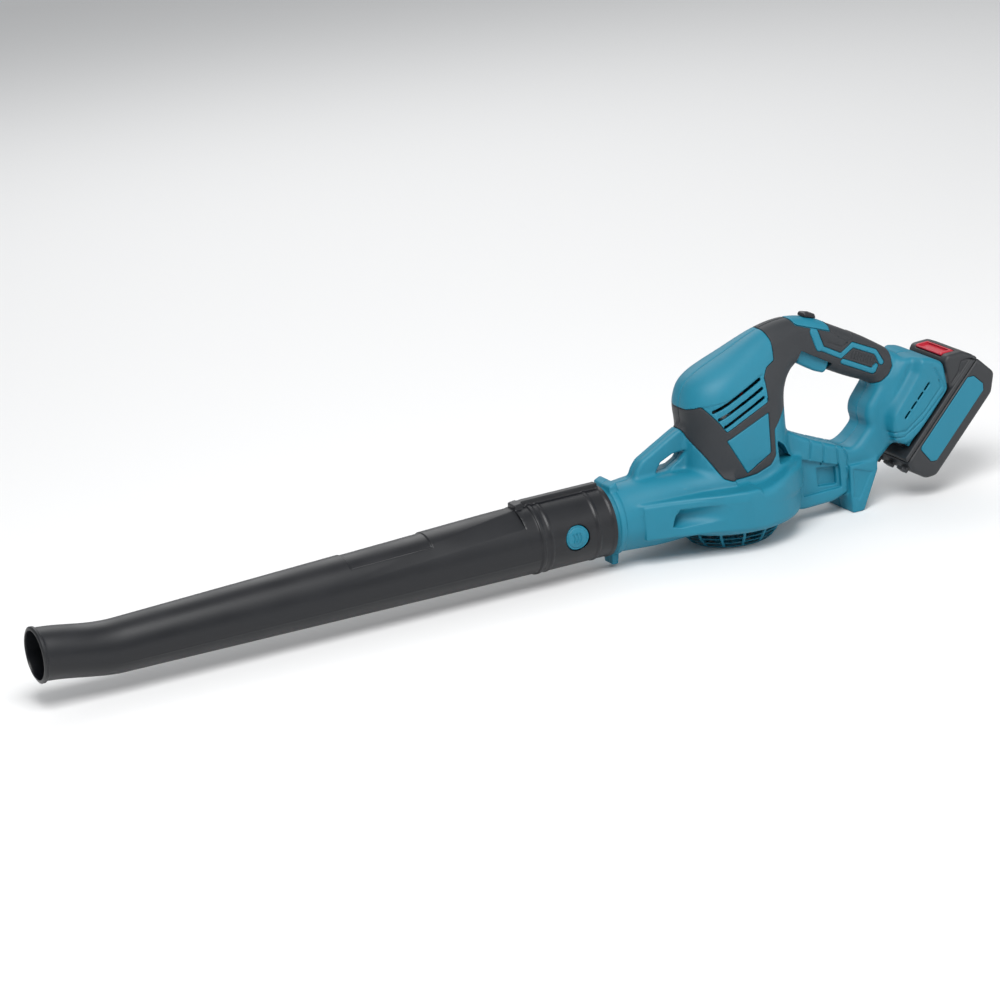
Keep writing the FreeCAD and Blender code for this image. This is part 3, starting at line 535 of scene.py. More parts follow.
def thin_out(made: bpy.types.Object, most: int) -> None:
    """Collapse short edges until a mesh has at most this many triangles."""
    count = sum(len(polygon.vertices) - 2 for polygon in made.data.polygons)
    if count <= most:
        return
    modifier = made.modifiers.new("thin_out", "DECIMATE")
    modifier.ratio = most / count
    evaluated = made.evaluated_get(bpy.context.evaluated_depsgraph_get())
    result = bpy.data.meshes.new_from_object(evaluated)
    made.modifiers.remove(modifier)
    result.name = made.data.name
    made.data = result


def dress(made: bpy.types.Object, body: Body, slot: Slot, *nodes: str) -> bpy.types.Object:
    """Tie a piece to its body and the CAD nodes it stands for."""
    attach(made, body.value)
    if nodes:
        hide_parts(*nodes)
    return made


# ---------------------------------------------------------------- repeated details
@dataclass(frozen=True)
class Repeat:
    """Geometry Nodes tool that sets one small solid on every point of a carrier mesh.

    Args:
        name: name of the node group.
        inputs: named float inputs in millimetres, with their values.
        shape: builds the small solid from the tree and the group input node, and returns its
            socket.
    """

    name: str
    inputs: dict
    shape: Callable

    def group(self) -> bpy.types.NodeTree:
        """Node group with a geometry input, the named inputs and a material input."""
        tree = bpy.data.node_groups.new(self.name, "GeometryNodeTree")
        sockets = tree.interface
        sockets.new_socket("Geometry", in_out="INPUT", socket_type="NodeSocketGeometry")
        for label in self.inputs:
            sockets.new_socket(label, in_out="INPUT", socket_type="NodeSocketFloat")
        sockets.new_socket("Material", in_out="INPUT", socket_type="NodeSocketMaterial")
        sockets.new_socket("Geometry", in_out="OUTPUT", socket_type="NodeSocketGeometry")
        given = add_node(tree, "NodeGroupInput")
        turn = add_node(tree, "GeometryNodeInputNamedAttribute", {"Name": "turn"},
                        data_type="FLOAT_VECTOR")
        placed = add_node(tree, "GeometryNodeInstanceOnPoints", {
            "Points": given.outputs["Geometry"], "Instance": self.shape(tree, given),
            "Rotation": turn.outputs["Attribute"]})
        solid = add_node(tree, "GeometryNodeRealizeInstances", {
            "Geometry": placed.outputs["Instances"]})
        painted = add_node(tree, "GeometryNodeSetMaterial", {
            "Geometry": solid.outputs["Geometry"], "Material": given.outputs["Material"]})
        add_node(tree, "NodeGroupOutput", {"Geometry": painted.outputs["Geometry"]})
        return tree

    def make(self, name: str, places: Sequence[tuple[Point3, Point3]],
             slot: Slot) -> bpy.types.Object:
        """Copy the solid to each place.

        Args:
            name: object name.
            places: (point in millimetres, direction that the solid's Z takes) of each copy.
            slot: finish of the copies.

        Returns:
            One plain mesh object.
        """
        carrier = bpy.data.meshes.new(name + "_points")
        carrier.from_pydata([[c * MM for c in point] for point, _ in places], [], [])
        turns = carrier.attributes.new("turn", "FLOAT_VECTOR", "POINT")
        for i, (_, direction) in enumerate(places):
            turns.data[i].vector = Vector(direction).to_track_quat("Z", "Y").to_euler()
        made = bpy.data.objects.new(name, carrier)
        bpy.context.scene.collection.objects.link(made)
        tree = self.group()
        modifier = made.modifiers.new("repeat", "NODES")
        modifier.node_group = tree
        for item in tree.interface.items_tree:
            if item.in_out == "INPUT" and item.name in self.inputs:
                modifier[item.identifier] = float(self.inputs[item.name]) * MM
            if item.in_out == "INPUT" and item.name == "Material":
                modifier[item.identifier] = FINISHES[slot].material()
        evaluated = made.evaluated_get(bpy.context.evaluated_depsgraph_get())
        result = bpy.data.meshes.new_from_object(evaluated)
        made.modifiers.remove(modifier)
        made.data = result
        result.name = name
        result.shade_smooth()
        result.set_sharp_from_angle(angle=math.radians(40))
        bpy.data.meshes.remove(carrier)
        return made


def rib_shape(tree: bpy.types.NodeTree, given: bpy.types.Node) -> bpy.types.NodeSocket:
    """Round bar along Z, centred on its point."""
    bar = add_node(tree, "GeometryNodeMeshCylinder", {
        "Vertices": 16, "Side Segments": 1, "Radius": given.outputs["Radius"],
        "Depth": given.outputs["Length"]}, fill_type="TRIANGLE_FAN")
    return bar.outputs["Mesh"]


def arc_shape(tree: bpy.types.NodeTree, given: bpy.types.Node) -> bpy.types.NodeSocket:
    """Round rib bent to an arc in the XY plane, centred on its point."""
    arc = add_node(tree, "GeometryNodeCurveArc", {
        "Resolution": 24, "Radius": given.outputs["Bend"],
        "Start Angle": -0.62, "Sweep Angle": 1.24})
    section = add_node(tree, "GeometryNodeCurvePrimitiveCircle", {
        "Resolution": 12, "Radius": given.outputs["Radius"]})
    rib = add_node(tree, "GeometryNodeCurveToMesh", {
        "Curve": arc.outputs["Curve"], "Profile Curve": section.outputs["Curve"],
        "Fill Caps": True})
    shift = add_node(tree, "ShaderNodeMath", {0: given.outputs["Bend"], 1: -1.0},
                     operation="MULTIPLY")
    offset = add_node(tree, "ShaderNodeCombineXYZ", {"X": shift.outputs["Value"]})
    moved = add_node(tree, "GeometryNodeTransform", {
        "Geometry": rib.outputs["Mesh"], "Translation": offset.outputs["Vector"]})
    return moved.outputs["Geometry"]


def screw_shape(tree: bpy.types.NodeTree, given: bpy.types.Node) -> bpy.types.NodeSocket:
    """Screw whose head stands on its point along Z, with a six-sided socket and a shank below."""
    def cylinder(sides: int, radius: str, depth: str, sign: float) -> bpy.types.NodeSocket:
        """Cylinder that stands on the point, or hangs from it where sign is -1."""
        half = add_node(tree, "ShaderNodeMath", {0: given.outputs[depth], 1: 0.5 * sign},
                        operation="MULTIPLY")
        solid = add_node(tree, "GeometryNodeMeshCylinder", {
            "Vertices": sides, "Radius": given.outputs[radius], "Depth": given.outputs[depth]})
        lift = add_node(tree, "ShaderNodeCombineXYZ", {"Z": half.outputs["Value"]})
        moved = add_node(tree, "GeometryNodeTransform", {
            "Geometry": solid.outputs["Mesh"], "Translation": lift.outputs["Vector"]})
        return moved.outputs["Geometry"]

    lift = add_node(tree, "ShaderNodeCombineXYZ", {"Z": given.outputs["Socket floor"]})
    socket = add_node(tree, "GeometryNodeTransform", {
        "Geometry": cylinder(6, "Socket radius", "Head height", 1.0),
        "Translation": lift.outputs["Vector"]})
    head = add_node(tree, "GeometryNodeMeshBoolean", {
        "Mesh 1": cylinder(32, "Head radius", "Head height", 1.0)}, operation="DIFFERENCE")
    tree.links.new(socket.outputs["Geometry"], head.inputs["Mesh 2"])
    both = add_node(tree, "GeometryNodeJoinGeometry")
    tree.links.new(head.outputs["Mesh"], both.inputs["Geometry"])
    tree.links.new(cylinder(16, "Shank radius", "Shank length", -1.0), both.inputs["Geometry"])
    return both.outputs["Geometry"]


# ---------------------------------------------------------------- housing
HOOD = (
    ((-54, 58), (70, 58), 46, 42), ((-49, 92), (66, 90), 43.5, 40),
    ((-46, 122), (65, 118), 42, 38), ((-46, 150), (66, 140), 41, 37),
    ((-32, 172), (70, 152), 37, 33), ((12, 191.5), (75, 158.5), 30, 25),
    ((50, 206.5), (82, 161.5), 23, 20), ((80, 210.6), (92, 161), 19, 16),
    ((108, 205.3), (108.5, 156), 18.5, 15), ((136, 191.5), (122, 148.5), 18.2, 15),
    ((164, 175.5), (143, 137.5), 18.2, 15), ((186, 161), (163, 128.5), 19, 15),
    ((200, 151), (174, 122), 21, 15),
)
DUCT = (
    ((-141, 82.6), (-141, 15.4), 33.6, 33.0), ((-118, 83.6), (-118, 14.5), 35.0, 31.0),
    ((-90, 83.8), (-90, 15.0), 37.0, 26.0), ((-55, 83.8), (-55, 18.0), 40.0, 22.0),
    ((-15, 82.0), (-15, 22.0), 50.0, 16.0),
)
REAR = (
    (178, 108), (173, 86), (178, 66), (191.5, 60), (206, 68.5), (244, 108.5), (240, 137.5),
    (226, 145), (212, 147.5), (198, 146.5),
)
PAD = (
    (219, 150), (211.5, 131), (194, 109.5), (178.7, 92), (176, 72), (186, 58), (250, 110),
    (246, 142),
)
STRUT = (
    (190, 138), (172, 123), (157, 105), (154.5, 94), (158, 84), (147, 74), (132, 58), (162, 43),
    (178, 56), (205, 90), (212, 130),
)
BRIDGE = (
    (40, 78), (58, 104), (66, 99), (79, 91), (97, 82), (134, 66.5), (150, 68), (161, 48),
    (158, 34), (146, 6), (129, 5), (126, 21), (110, 15.6), (75, 14.5), (40, 24),
)
BRIDGE_SIDE = (
    (40, 100), (50, 92), (58, 79), (73, 68.5), (118, 52.5), (119.5, 50), (119.5, 29), (60, 28),
    (40, 40),
)
BRIDGE_POCKET = ((94.5, 54), (116.5, 50.5), (116.5, 32), (95, 34))
POCKET_OUTLINE = (
    (-87, 39.5), (-84, 50), (-79, 56.5), (-40, 57), (-30, 50), (-40, 41), (-70, 36.5),
)
THUMB_PAD = ((123.5, 193.5), (131, 183.5), (142, 177.5), (150, 177.5), (158, 200), (126, 204))
THUMB_LINE = ((117.5, 180.5), (134.5, 172), (147, 178.5))
FOOT = ((128.5, 0), (142, 0), (161, 40), (160, 50), (126, 50), (127.5, 22))
FOOT_PANEL = ((132.4, 46), (154, 38.8), (137.4, 12.5), (131.5, 16))
WEB = ((-108, 80), (-104, 92), (-97, 101), (-58, 121.5), (-40, 130), (-34, 80))
EYE = ((-83, 85.5), (-76, 95.5), (-62, 101.5), (-47, 102.5), (-54, 93.5), (-68, 86))
SHELF = (
    (-124, 28), (-114, 36), (-88, 44), (-62, 54), (-38, 65), (-14, 72), (0, 72.5), (0, 0),
    (-124, 0),
)
CHEEK = (
    (-113.5, 30), (-113.5, 37.5), (-88, 45), (-62, 55), (-38, 65), (-14, 71), (0, 71), (0, 0),
    (-100, 0),
)
GRIP = (
    (-70, 143.5), (-46, 144.5), (-36, 148.7), (-21.8, 130.1), (-15.9, 120.6), (32.9, 142),
    (33.9, 165.7), (39.2, 173.8), (49.9, 178.7), (51.4, 195.9), (49, 206.7), (42.9, 215.2),
    (30, 226), (60, 240), (190, 190), (189, 170), (191, 155), (189, 141), (184, 134), (176, 127.5),
    (166, 123.5), (150, 127), (120, 138), (90, 136), (66, 131), (52, 124.3), (38.2, 111.8),
    (36.5, 86), (29, 78), (12, 72.5), (-2, 71.5), (-18, 71.5), (-25.5, 75), (-42.6, 107),
    (-48, 120), (-52, 125.3), (-70, 126),
)
LOWER_PANEL = ((-16.7, 111.5), (31.9, 130.8), (30.2, 90.5), (1.5, 75.5))
VENT_PANEL = (
    (-36, 148), (-8.4, 152.5), (24.7, 165.8), (33.2, 169.5), (32.2, 142.6), (-15.6, 121.6),
    (-21.2, 131),
)
TOP_PANEL = (
    (79.7, 240), (79.7, 214), (84.7, 204.7), (122.9, 190.5), (123.8, 195.6), (121, 199.4),
    (150, 240),
)
STRIPES = (
    (((103.4, 194.3), (108.8, 177.5)), 8.6),
    (((108.8, 177), (132.2, 163.3), (146.9, 171.7), (172.9, 158.9), (177.8, 147.3)), 5.0),
    (((134.5, 157), (167.8, 140), (171, 145)), 5.2),
)
VENTS = (((-26.5, 142.5), (28.5, 164.5)), ((-22, 134.0), (29, 155.5)), ((-17, 125.5), (29, 146.5)))
SCREWS = (
    (-100, 88), (-20, 160), (59, 190), (190, 146), (220, 136), (150, 50), (112, 32), (138, 33),
)
BRIDGE_LINES = (
    ((90, 104), (88.3, 86), (85.4, 66)), ((104.6, 98), (103, 80), (100, 57)),
    ((116, 92), (117, 75), (118, 52)),
    ((123, 90), (123.5, 77), (128.5, 58), (126.6, 22.6), (114.4, 15)),
)
REAR_LINES = (
    ((228, 134), (239.5, 111), (236.5, 107), (210, 83), (187, 70.5), (176, 71)),
    ((232, 121), (234.5, 113.5), (212.5, 91.5), (190, 76), (174, 77)),
)
BATTERY_ORIGIN = (192.0, 60.0)
BATTERY_TILT = math.radians(45.5)
HANDLE_TILT = math.radians(-31.0)
SWITCH = (108.0, 181.0)
SLIDER = (106.0, 205.4)
SLIDER_TILT = math.radians(-17.0)


@dataclass
class Housing:
    """The two moulded shells, the soft grip and the switch panel.

    Args:
        step: sample spacing in millimetres.
        wall: wall thickness.
        grip_depth: thickness of the soft overmould.
        seam: half the gap between the two halves.
    """

    step: float = 0.85
    wall: float = 2.6
    grip_depth: float = 1.8
    seam: float = 0.1
    block: Block = field(init=False, repr=False)

    def __post_init__(self) -> None:
        """Lay out the samples over one half and a little past the parting plane."""
        self.block = Block((-216, -3 * self.step, -2), (252, 76, 216), self.step)

    def rear(self) -> np.ndarray:
        """Battery mount: a pillow with a raised side pad."""
        b = self.block
        pad = b.outline(PAD, 1.2)
        half_width = 38.0 - 10.0 * ramp(pad / 9.0)
        return b.slab(b.outline(REAR, 3.0), half_width, 6.0)

    def bridge(self) -> np.ndarray:
        """Rail between the fan housing and the foot."""
        b = self.block
        return b.slab(b.outline(BRIDGE, 3.0), 22.0, 5.0)

    def side_details(self, solid: np.ndarray) -> np.ndarray:
        """Outside with the sunk panels, pockets and dividing lines of its two sides."""
        b = self.block
        across = np.abs(b.y)
        radius = b.from_fan()
        beside = -np.maximum(radius - 78.5, b.w - 76.0)
        panel = np.maximum(np.maximum(b.outline(BRIDGE_SIDE, 0.8), 17.5 - across), beside)
        solid = cut(solid, panel, 0.6)
        solid = cut(solid, np.maximum(b.outline(BRIDGE_POCKET, 0.4), 12.0 - across), 0.8)
        along = np.clip((b.u + 87.0) / 52.0, 0, 1)
        share = np.clip(np.abs(b.w - 47.0 - 2.0 * along) / (10.0 - 2.0 * along), 0, 1)
        depth = 16.0 * (1 - along ** 0.8) * (1 - share ** 2)
        pocket = np.maximum(b.outline(POCKET_OUTLINE, 0.3), 31.2 - across)
        solid = cut(solid, np.maximum(pocket, -(solid + depth)), 0.6)
        for line in BRIDGE_LINES:
            solid = carve(solid, b.stroke(line, 1.7), 1.5, 0.2)
        for line in REAR_LINES:
            solid = carve(solid, np.maximum(b.stroke(line, 1.7), 26.0 - across), 1.2, 0.2)
        panel = np.maximum(b.outline(FOOT_PANEL, 0.3), 24.0 - across)
        return carve(solid, panel, 1.2, 0.3)

    def outside(self) -> np.ndarray:
        """Whole outside of the two halves, with fillets where the members meet."""
        b = self.block
        hood = b.sweep(HOOD)
        vent = b.outline(VENT_PANEL, 0.5)
        hood = cut(hood, np.maximum(vent, -(hood + 1.0)), 0.9)
        radius = b.from_fan()
        top = 64.0 + 8.0 * ramp((b.u - 10) / 40)
        volute = rounded(radius - VOLUTE_R, between(b.w, VOLUTE_BOTTOM, top), 8.0)
        plan = Block((0, 0, 0), (0, 0, 0), self.step)
        plan.u, plan.w = b.u, b.y
        shelf = rounded(plan.outline(SHELF), np.abs(b.w - 60.0) - 6.0, 3.0)
        cheek = rounded(plan.outline(CHEEK, 1.0), np.abs(b.w - 46.0) - 18.0, 3.0)
        lip_radius = np.sqrt((b.u - 9.0) ** 2 + b.y ** 2)
        lip_top = 61.0 + 12.5 * ramp((b.u - 2) / 48)
        lip = rounded(lip_radius - 69.5, between(b.w, 47, lip_top), 5.0)
        solid = join(hood, join(volute, lip, 4.0), 8.0)
        duct = join(b.sweep(DUCT), join(shelf, cheek), 2.5)
        solid = join(solid, duct, 5.0)
        web = b.slab(b.outline(WEB, 2.5), 9.0, 4.0)
        solid = join(solid, web, 6.0)
        solid = cut(solid, b.slab(b.outline(EYE, 1.0), 26.0, 0.5), 2.0)
        solid = join(solid, self.bridge(), 5.0)
        foot = b.slab(b.outline(FOOT, 1.0), 26.0, 2.0)
        solid = join(solid, foot, 2.0)
        strut = b.slab(b.outline(STRUT, 3.0), 23.0, 8.0)
        solid = join(solid, strut, 8.0)
        solid = join(solid, self.rear(), 9.0)
        around = b.from_tube()
        flange = rounded(around - 36.2, np.abs(b.u + 135.7) - 3.2, 1.2)
        solid = join(solid, flange, 1.5)
        lug = b.slab(b.outline(((-139, 80), (-139, 86), (-131, 89.5), (-129, 80)), 0.8), 17.0, 1.5)
        low_lug = b.slab(b.outline(((-139, 18), (-130, 18), (-132.5, 3), (-139, 3)), 0.8), 9.0, 1.5)
        solid = join(solid, join(lug, low_lug), 2.5)
        return np.maximum(self.side_details(solid), np.abs(b.y) - SIDE_LIMIT)

    def grip_region(self) -> np.ndarray:
        """Side view of the soft grip, without the hard stripes that show through it."""
        b = self.block
        region = b.outline(GRIP, 0.7)
        region = cut(region, b.outline(LOWER_PANEL, 0.5))
        for points, width in STRIPES:
            region = cut(region, b.stroke(points, width))
        return region

    def openings(self, shell: np.ndarray) -> np.ndarray:
        """Shell with its vents, air way, switch slots and battery mount."""
        b = self.block
        for start, end in VENTS:
            slot = b.stroke((start, end), 3.2)
            shell = cut(shell, np.maximum(slot, 12 - np.abs(b.y)), 0.4)
        for i in range(4):
            x, z = 190.5 + 8.2 * i, 90.0 + 8.2 * i
            slot = b.stroke(((x, z), (x + 5.2, z + 5.2)), 2.4)
            shell = cut(shell, np.maximum(slot, 26 - np.abs(b.y)), 0.3)
        around = b.from_tube()
        radius = b.from_fan()
        spigot = rounded(around - SPIGOT_R, np.abs(b.u + 174) - 38.0, 0.8)
        shell = join(shell, spigot)
        shell = cut(shell, np.maximum(around - AIR_WAY_R, b.u + 70))
        shell = cut(shell, np.maximum(radius - 55.3, b.w - 22.0), 0.5)
        shell = cut(shell, np.maximum(radius - 46.0, b.w - 34.0), 0.5)
        switch = b.tilted(SWITCH, HANDLE_TILT)
        shell = cut(shell, switch.box((-17, -12.6, 4), (25, 12.6, 20)), 0.5)
        shell = cut(shell, switch.box((-18, -30, 12), (26.5, 30, 40), 2.0), 0.8)
        slider = b.tilted(SLIDER, SLIDER_TILT)
        shell = cut(shell, slider.box((-4.5, -3.9, -5), (11.5, 3.9, 12)), 0.3)
        shell = cut(shell, slider.box((-10.5, -6.8, 4.2), (15.5, 6.8, 7.4)))
        mount = b.tilted(BATTERY_ORIGIN, BATTERY_TILT)
        inside = b.slab(b.outline(REAR, 3.0), 37.0, 6.0)
        deck = np.maximum(mount.box((-3, -35.5, -12.5), (80, 35.5, -9.5)), inside)
        shell = cut(join(shell, deck), mount.box((-3, -33.5, -9.5), (110, 33.5, 8)))
        for side in (-1, 1):
            inner, outer = sorted((side * 26.5, side * 34.0))
            shell = join(shell, mount.box((0, inner, -0.5), (68, outer, 2.4)))
        plate = np.maximum(np.maximum(radius - 39, np.abs(b.w - 62.6) - 4.6), 8.0 - radius)
        return join(shell, plate)

    def build(self) -> None:
        """Make the shells, the grips, the switch panel and the screws."""
        b = self.block
        solid = self.outside()
        region = self.grip_region()
        top = b.outline(TOP_PANEL, 0.7)
        grip_only = cut(region, top)
        both = np.minimum(region, top)
        wall = self.wall + 2.2 * ramp(-(both - 3) / 3)
        hollow = np.maximum(solid, -(solid + wall))
        opened = self.openings(hollow)
        half = self.seam - b.y
        grip_bed = np.maximum(both, -(solid + self.grip_depth))
        shell = cut(opened, grip_bed, 0.5)
        right, left = shell, shell
        screws = []
        for x, z in SCREWS:
            reach = self.reach(solid, x, z)
            screws.append((x, reach - 5.0, z))
            around = np.sqrt((b.u - x) ** 2 + (b.w - z) ** 2)
            boss = np.maximum(around - 4.6, solid + 1.0)
            right = cut(join(right, boss), np.maximum(around - 3.4, reach - 5.0 - b.y), 0.3)
        tool = Repeat("shell_screws", {
            "Head radius": 3.1, "Head height": 2.4, "Socket radius": 1.5, "Socket floor": 0.9,
            "Shank radius": 1.6, "Shank length": 5.0}, screw_shape)
        made = tool.make("shell_screw_set", [(point, (0, 1, 0)) for point in screws], Slot.SCREW)
        dress(made, Body.HOUSING, Slot.SCREW, "housing_screws")
        hole = b.from_lock()
        left = cut(left, np.maximum(hole - 16.6, b.u + 150))
        for name, values, mirror in (("right", right, False), ("left", left, True)):
            made = mesh_field("housing_shell_" + name, b, meet(values, half, 0.5), Slot.TEAL, mirror)
            dress(made, Body.HOUSING, Slot.TEAL, "housing_" + name)
        skin = np.maximum(solid + 0.05, -(solid + self.grip_depth - 0.1))
        grip = meet(skin, grip_only + 0.35, 0.8)
        grip = cut(grip, np.maximum(b.outline(THUMB_PAD, 0.5), -(solid + 0.6)), 0.2)
        for line in ((*THUMB_PAD, THUMB_PAD[0]), THUMB_LINE):
            grip = cut(grip, np.maximum(b.stroke(line, 1.5), -(solid + 0.95)), 0.2)
        grip = self.grip_cuts(grip)
        for name, mirror in (("right", False), ("left", True)):
            made = mesh_field("soft_grip_" + name, b, meet(grip, half, 0.5), Slot.RUBBER, mirror)
            dress(made, Body.HOUSING, Slot.RUBBER, "grip_" + name)
        self.panel(skin, top)
        tool = Repeat("grip_ribs", {"Radius": 0.9, "Length": 7.0}, rib_shape)
        made = tool.make("grip_rib_set", self.rib_places(solid), Slot.RUBBER)
        dress(made, Body.HOUSING, Slot.RUBBER)

    def rib_places(self, solid: np.ndarray) -> list:
        """Centre and direction of each rib of the two finger pads on the handle's sides."""
        places = []
        for i in range(8):
            x, z = 145.6 + 3.5 * i, 162.0 - 1.62 * i
            ends = [(x + side * 1.5, z + side * 3.2) for side in (-1, 1)]
            low, high = [(a, self.reach(solid, a, c), c) for a, c in ends]
            for side in (-1, 1):
                centre = [(p + q) / 2 for p, q in zip(low, high)]
                along = [q - p for p, q in zip(low, high)]
                point = (centre[0], side * (centre[1] - 0.1), centre[2])
                places.append((point, (along[0], side * along[1], along[2])))
        return places

    def grip_cuts(self, grip: np.ndarray) -> np.ndarray:
        """Grip with the trigger slot cut through it."""
        b = self.block
        switch = b.tilted(SWITCH, HANDLE_TILT)
        return cut(grip, switch.box((-16.6, -30, 13.2), (24.8, 30, 40), 1.0), 0.4)

    def panel(self, skin: np.ndarray, region: np.ndarray) -> None:
        """Hard switch panel let into the top of the handle."""
        b = self.block
        slider = b.tilted(SLIDER, SLIDER_TILT)
        solid = meet(skin, region + 0.35, 0.8)
        solid = cut(solid, slider.box((-4.5, -3.5, -5), (11.5, 3.5, 12)), 0.5)
        first = int(round(-b.low[1] / b.step))
        full = np.concatenate([solid[:, :first:-1], solid[:, first:]], 1)
        last = float(b.y[0, -1, 0])
        both = Block((b.low[0], -last, b.low[2]), (b.high[0], last, b.high[2]), b.step)
        made = mesh_field("switch_panel_skin", both, full, Slot.TEAL)
        dress(made, Body.HOUSING, Slot.TEAL, "switch_panel")

    def reach(self, solid: np.ndarray, x: float, z: float) -> float:
        """Half width of the outside on a line across it."""
        b = self.block
        i = int(round((x - b.low[0]) / b.step))
        k = int(round((z - b.low[2]) / b.step))
        line = solid[i, :, k]
        last = int(np.nonzero(line < 0)[0][-1])
        share = line[last] / (line[last] - line[last + 1])
        return float(b.low[1] + (last + share) * b.step)


# ---------------------------------------------------------------- nozzle
# Middle along X, half length and height of each ring on the sleeve.
SLEEVE_RINGS = ((-145.3, 2.3, 0.8), (-163.2, 1.8, 0.7), (-215, 1.6, 0.7), (-224, 2.2, 0.9))
KEY_RIB = ((-236, 80), (-236, 87.6), (-228, 89.3), (-146, 89.3), (-146, 80))
KEY_BLOCK = ((-239.5, 80), (-239.5, 87.6), (-231, 88.8), (-229.5, 80))


@dataclass
class Nozzle:
    """Tapered tube with an up-turned tip, its sleeve and the round lock button.

    Args:
        around: points round each ring.
        sleeve_front: where the sleeve starts, along X in millimetres.
        tip: X of the open end.
        wall: wall thickness.
    """

    around: int = 240
    sleeve_front: float = -224.0
    tip: float = -744.0
    wall: float = 2.2

    def axis_height(self, x: np.ndarray) -> np.ndarray:
        """Height of the tube's axis: a slight droop, then an S-bend that lifts the tip."""
        bend = ramp((-660.0 - x) / 88.0)
        return TUBE_Z - DROOP * (TAPER_START - x) + TIP_LIFT * bend

    def radius(self, x: np.ndarray) -> np.ndarray:
        """Outer radius of the tapered tube."""
        return np.maximum(TAPER_R - TAPER * (TAPER_START - x), 25.9)

    def build(self) -> None:
        """Make the tube, the sleeve and the button."""
        self.tube()
        self.sleeve()
        self.button()

    def tube(self) -> None:
        """Tube from the sleeve to the mouth, as rings that follow the bent axis."""
        rim = np.array([0, 0.5, 1.2, 2.4, 3.6, 4.4, 5.4, 7, 9, 12])
        edges = [np.arange(edge - 3.0, edge + 3.1, 0.5) for edge in (-424.0, -337.0)]
        plain = np.arange(self.tip + 16, self.sleeve_front - 2, 4.0)
        outer_x = np.unique(np.concatenate([self.tip + rim, plain, [self.sleeve_front], *edges]))
        angle = np.arange(self.around) * math.tau / self.around
        rings = []
        for x in outer_x:
            rings.append(self.ring(x, angle, self.outer_offset(x, angle)))
        inner_x = np.concatenate([outer_x[:0:-1][::3], [self.tip + 2.0, self.tip + 0.4, self.tip]])
        for x in inner_x:
            inner = -self.wall if x > self.tip + 1 else -self.wall + 0.4 * (1 - (x - self.tip))
            rings.append(self.ring(x, angle, np.full(self.around, inner)))
        count = len(rings)
        faces = []
        for i in range(count):
            for k in range(self.around):
                n = (k + 1) % self.around
                a, b = i * self.around, ((i + 1) % count) * self.around
                faces.append((a + k, b + k, b + n, a + n))
        made = new_object("nozzle_barrel", np.concatenate(rings) * MM, faces, Slot.BLACK, 50.0)
        dress(made, Body.NOZZLE, Slot.BLACK, "nozzle_tube")

    def ring(self, x: float, angle: np.ndarray, offset: np.ndarray) -> np.ndarray:
        """One ring of points; the angle is 0 at +Y and turns towards +Z."""
        r = self.radius(x) + offset
        middle = self.axis_height(x)
        return np.stack([np.full(len(angle), x), r * np.cos(angle), middle + r * np.sin(angle)], 1)

    def outer_offset(self, x: float, angle: np.ndarray) -> np.ndarray:
        """Relief of the outside: rim bead, flat on top, side crease and mould line below."""
        from_tip = x - self.tip
        rise = ramp(from_tip / 1.2)
        bead = 1.6 * (rise - ramp((from_tip - 3.4) / 1.4)) - 0.5 * (1 - rise)
        offset = np.full(len(angle), bead)
        turn = np.degrees((angle - math.pi / 2 + math.pi) % math.tau - math.pi)
        along = ramp((x + 425) / 1.5) * (1 - ramp((x + 338) / 1.5))
        inside = ramp((44 - np.abs(turn)) / 2.0)
        offset -= 1.0 * along * inside
        share = float(np.clip((-230.0 - x) / 215.0, 0, 1))
        low, high = math.radians(54 + 18 * share), math.radians(8 + 62 * share)
        middle, half = (low + high) / 2, (low - high) / 2
        from_middle = np.minimum(np.abs(np.radians(np.abs(turn)) - middle), half)
        chord = math.cos(half) / np.cos(from_middle) - 1
        offset += 0.9 * self.radius(x) * chord
        fade = ramp((x + 690) / 60)
        offset += 0.35 * fade * np.maximum(0, 1 - np.abs(np.abs(turn) - 113) / 1.6)
        return offset

    def sleeve(self) -> None:
        """Sleeve over the spigot, with rings, key rib and the hole for the button."""
        b = Block((-241, -38, 11), (-141.6, 38, 91.5), 0.8)
        around = b.from_tube()
        solid = rounded(around - SLEEVE_R, np.abs(b.u + 184) - 41.0, 0.8)
        taper_r = TAPER_R - TAPER * (TAPER_START - b.u)
        taper = np.maximum(around - taper_r, np.abs(b.u + 231) - 8.4)
        solid = np.minimum(solid, taper)
        for middle, half, height in SLEEVE_RINGS:
            ring = rounded(around - SLEEVE_R - height, np.abs(b.u - middle) - half, 0.7)
            solid = join(solid, ring, 0.6)
        rib = b.slab(b.outline(KEY_RIB, 0.5), 4.5, 1.2)
        block = b.slab(b.outline(KEY_BLOCK, 0.5), 8.0, 1.2)
        solid = join(solid, join(rib, block, 1.0), 1.4)
        solid = cut(solid, np.maximum(around - 33.2, -223.0 - b.u))
        solid = cut(solid, np.maximum(around - 32.6, b.u + 222.0))
        hole = b.from_lock()
        solid = cut(solid, np.maximum(hole - 13.2, b.y), 0.5)
        made = mesh_field("nozzle_sleeve", b, solid, Slot.BLACK, most=90_000)
        dress(made, Body.NOZZLE, Slot.BLACK)

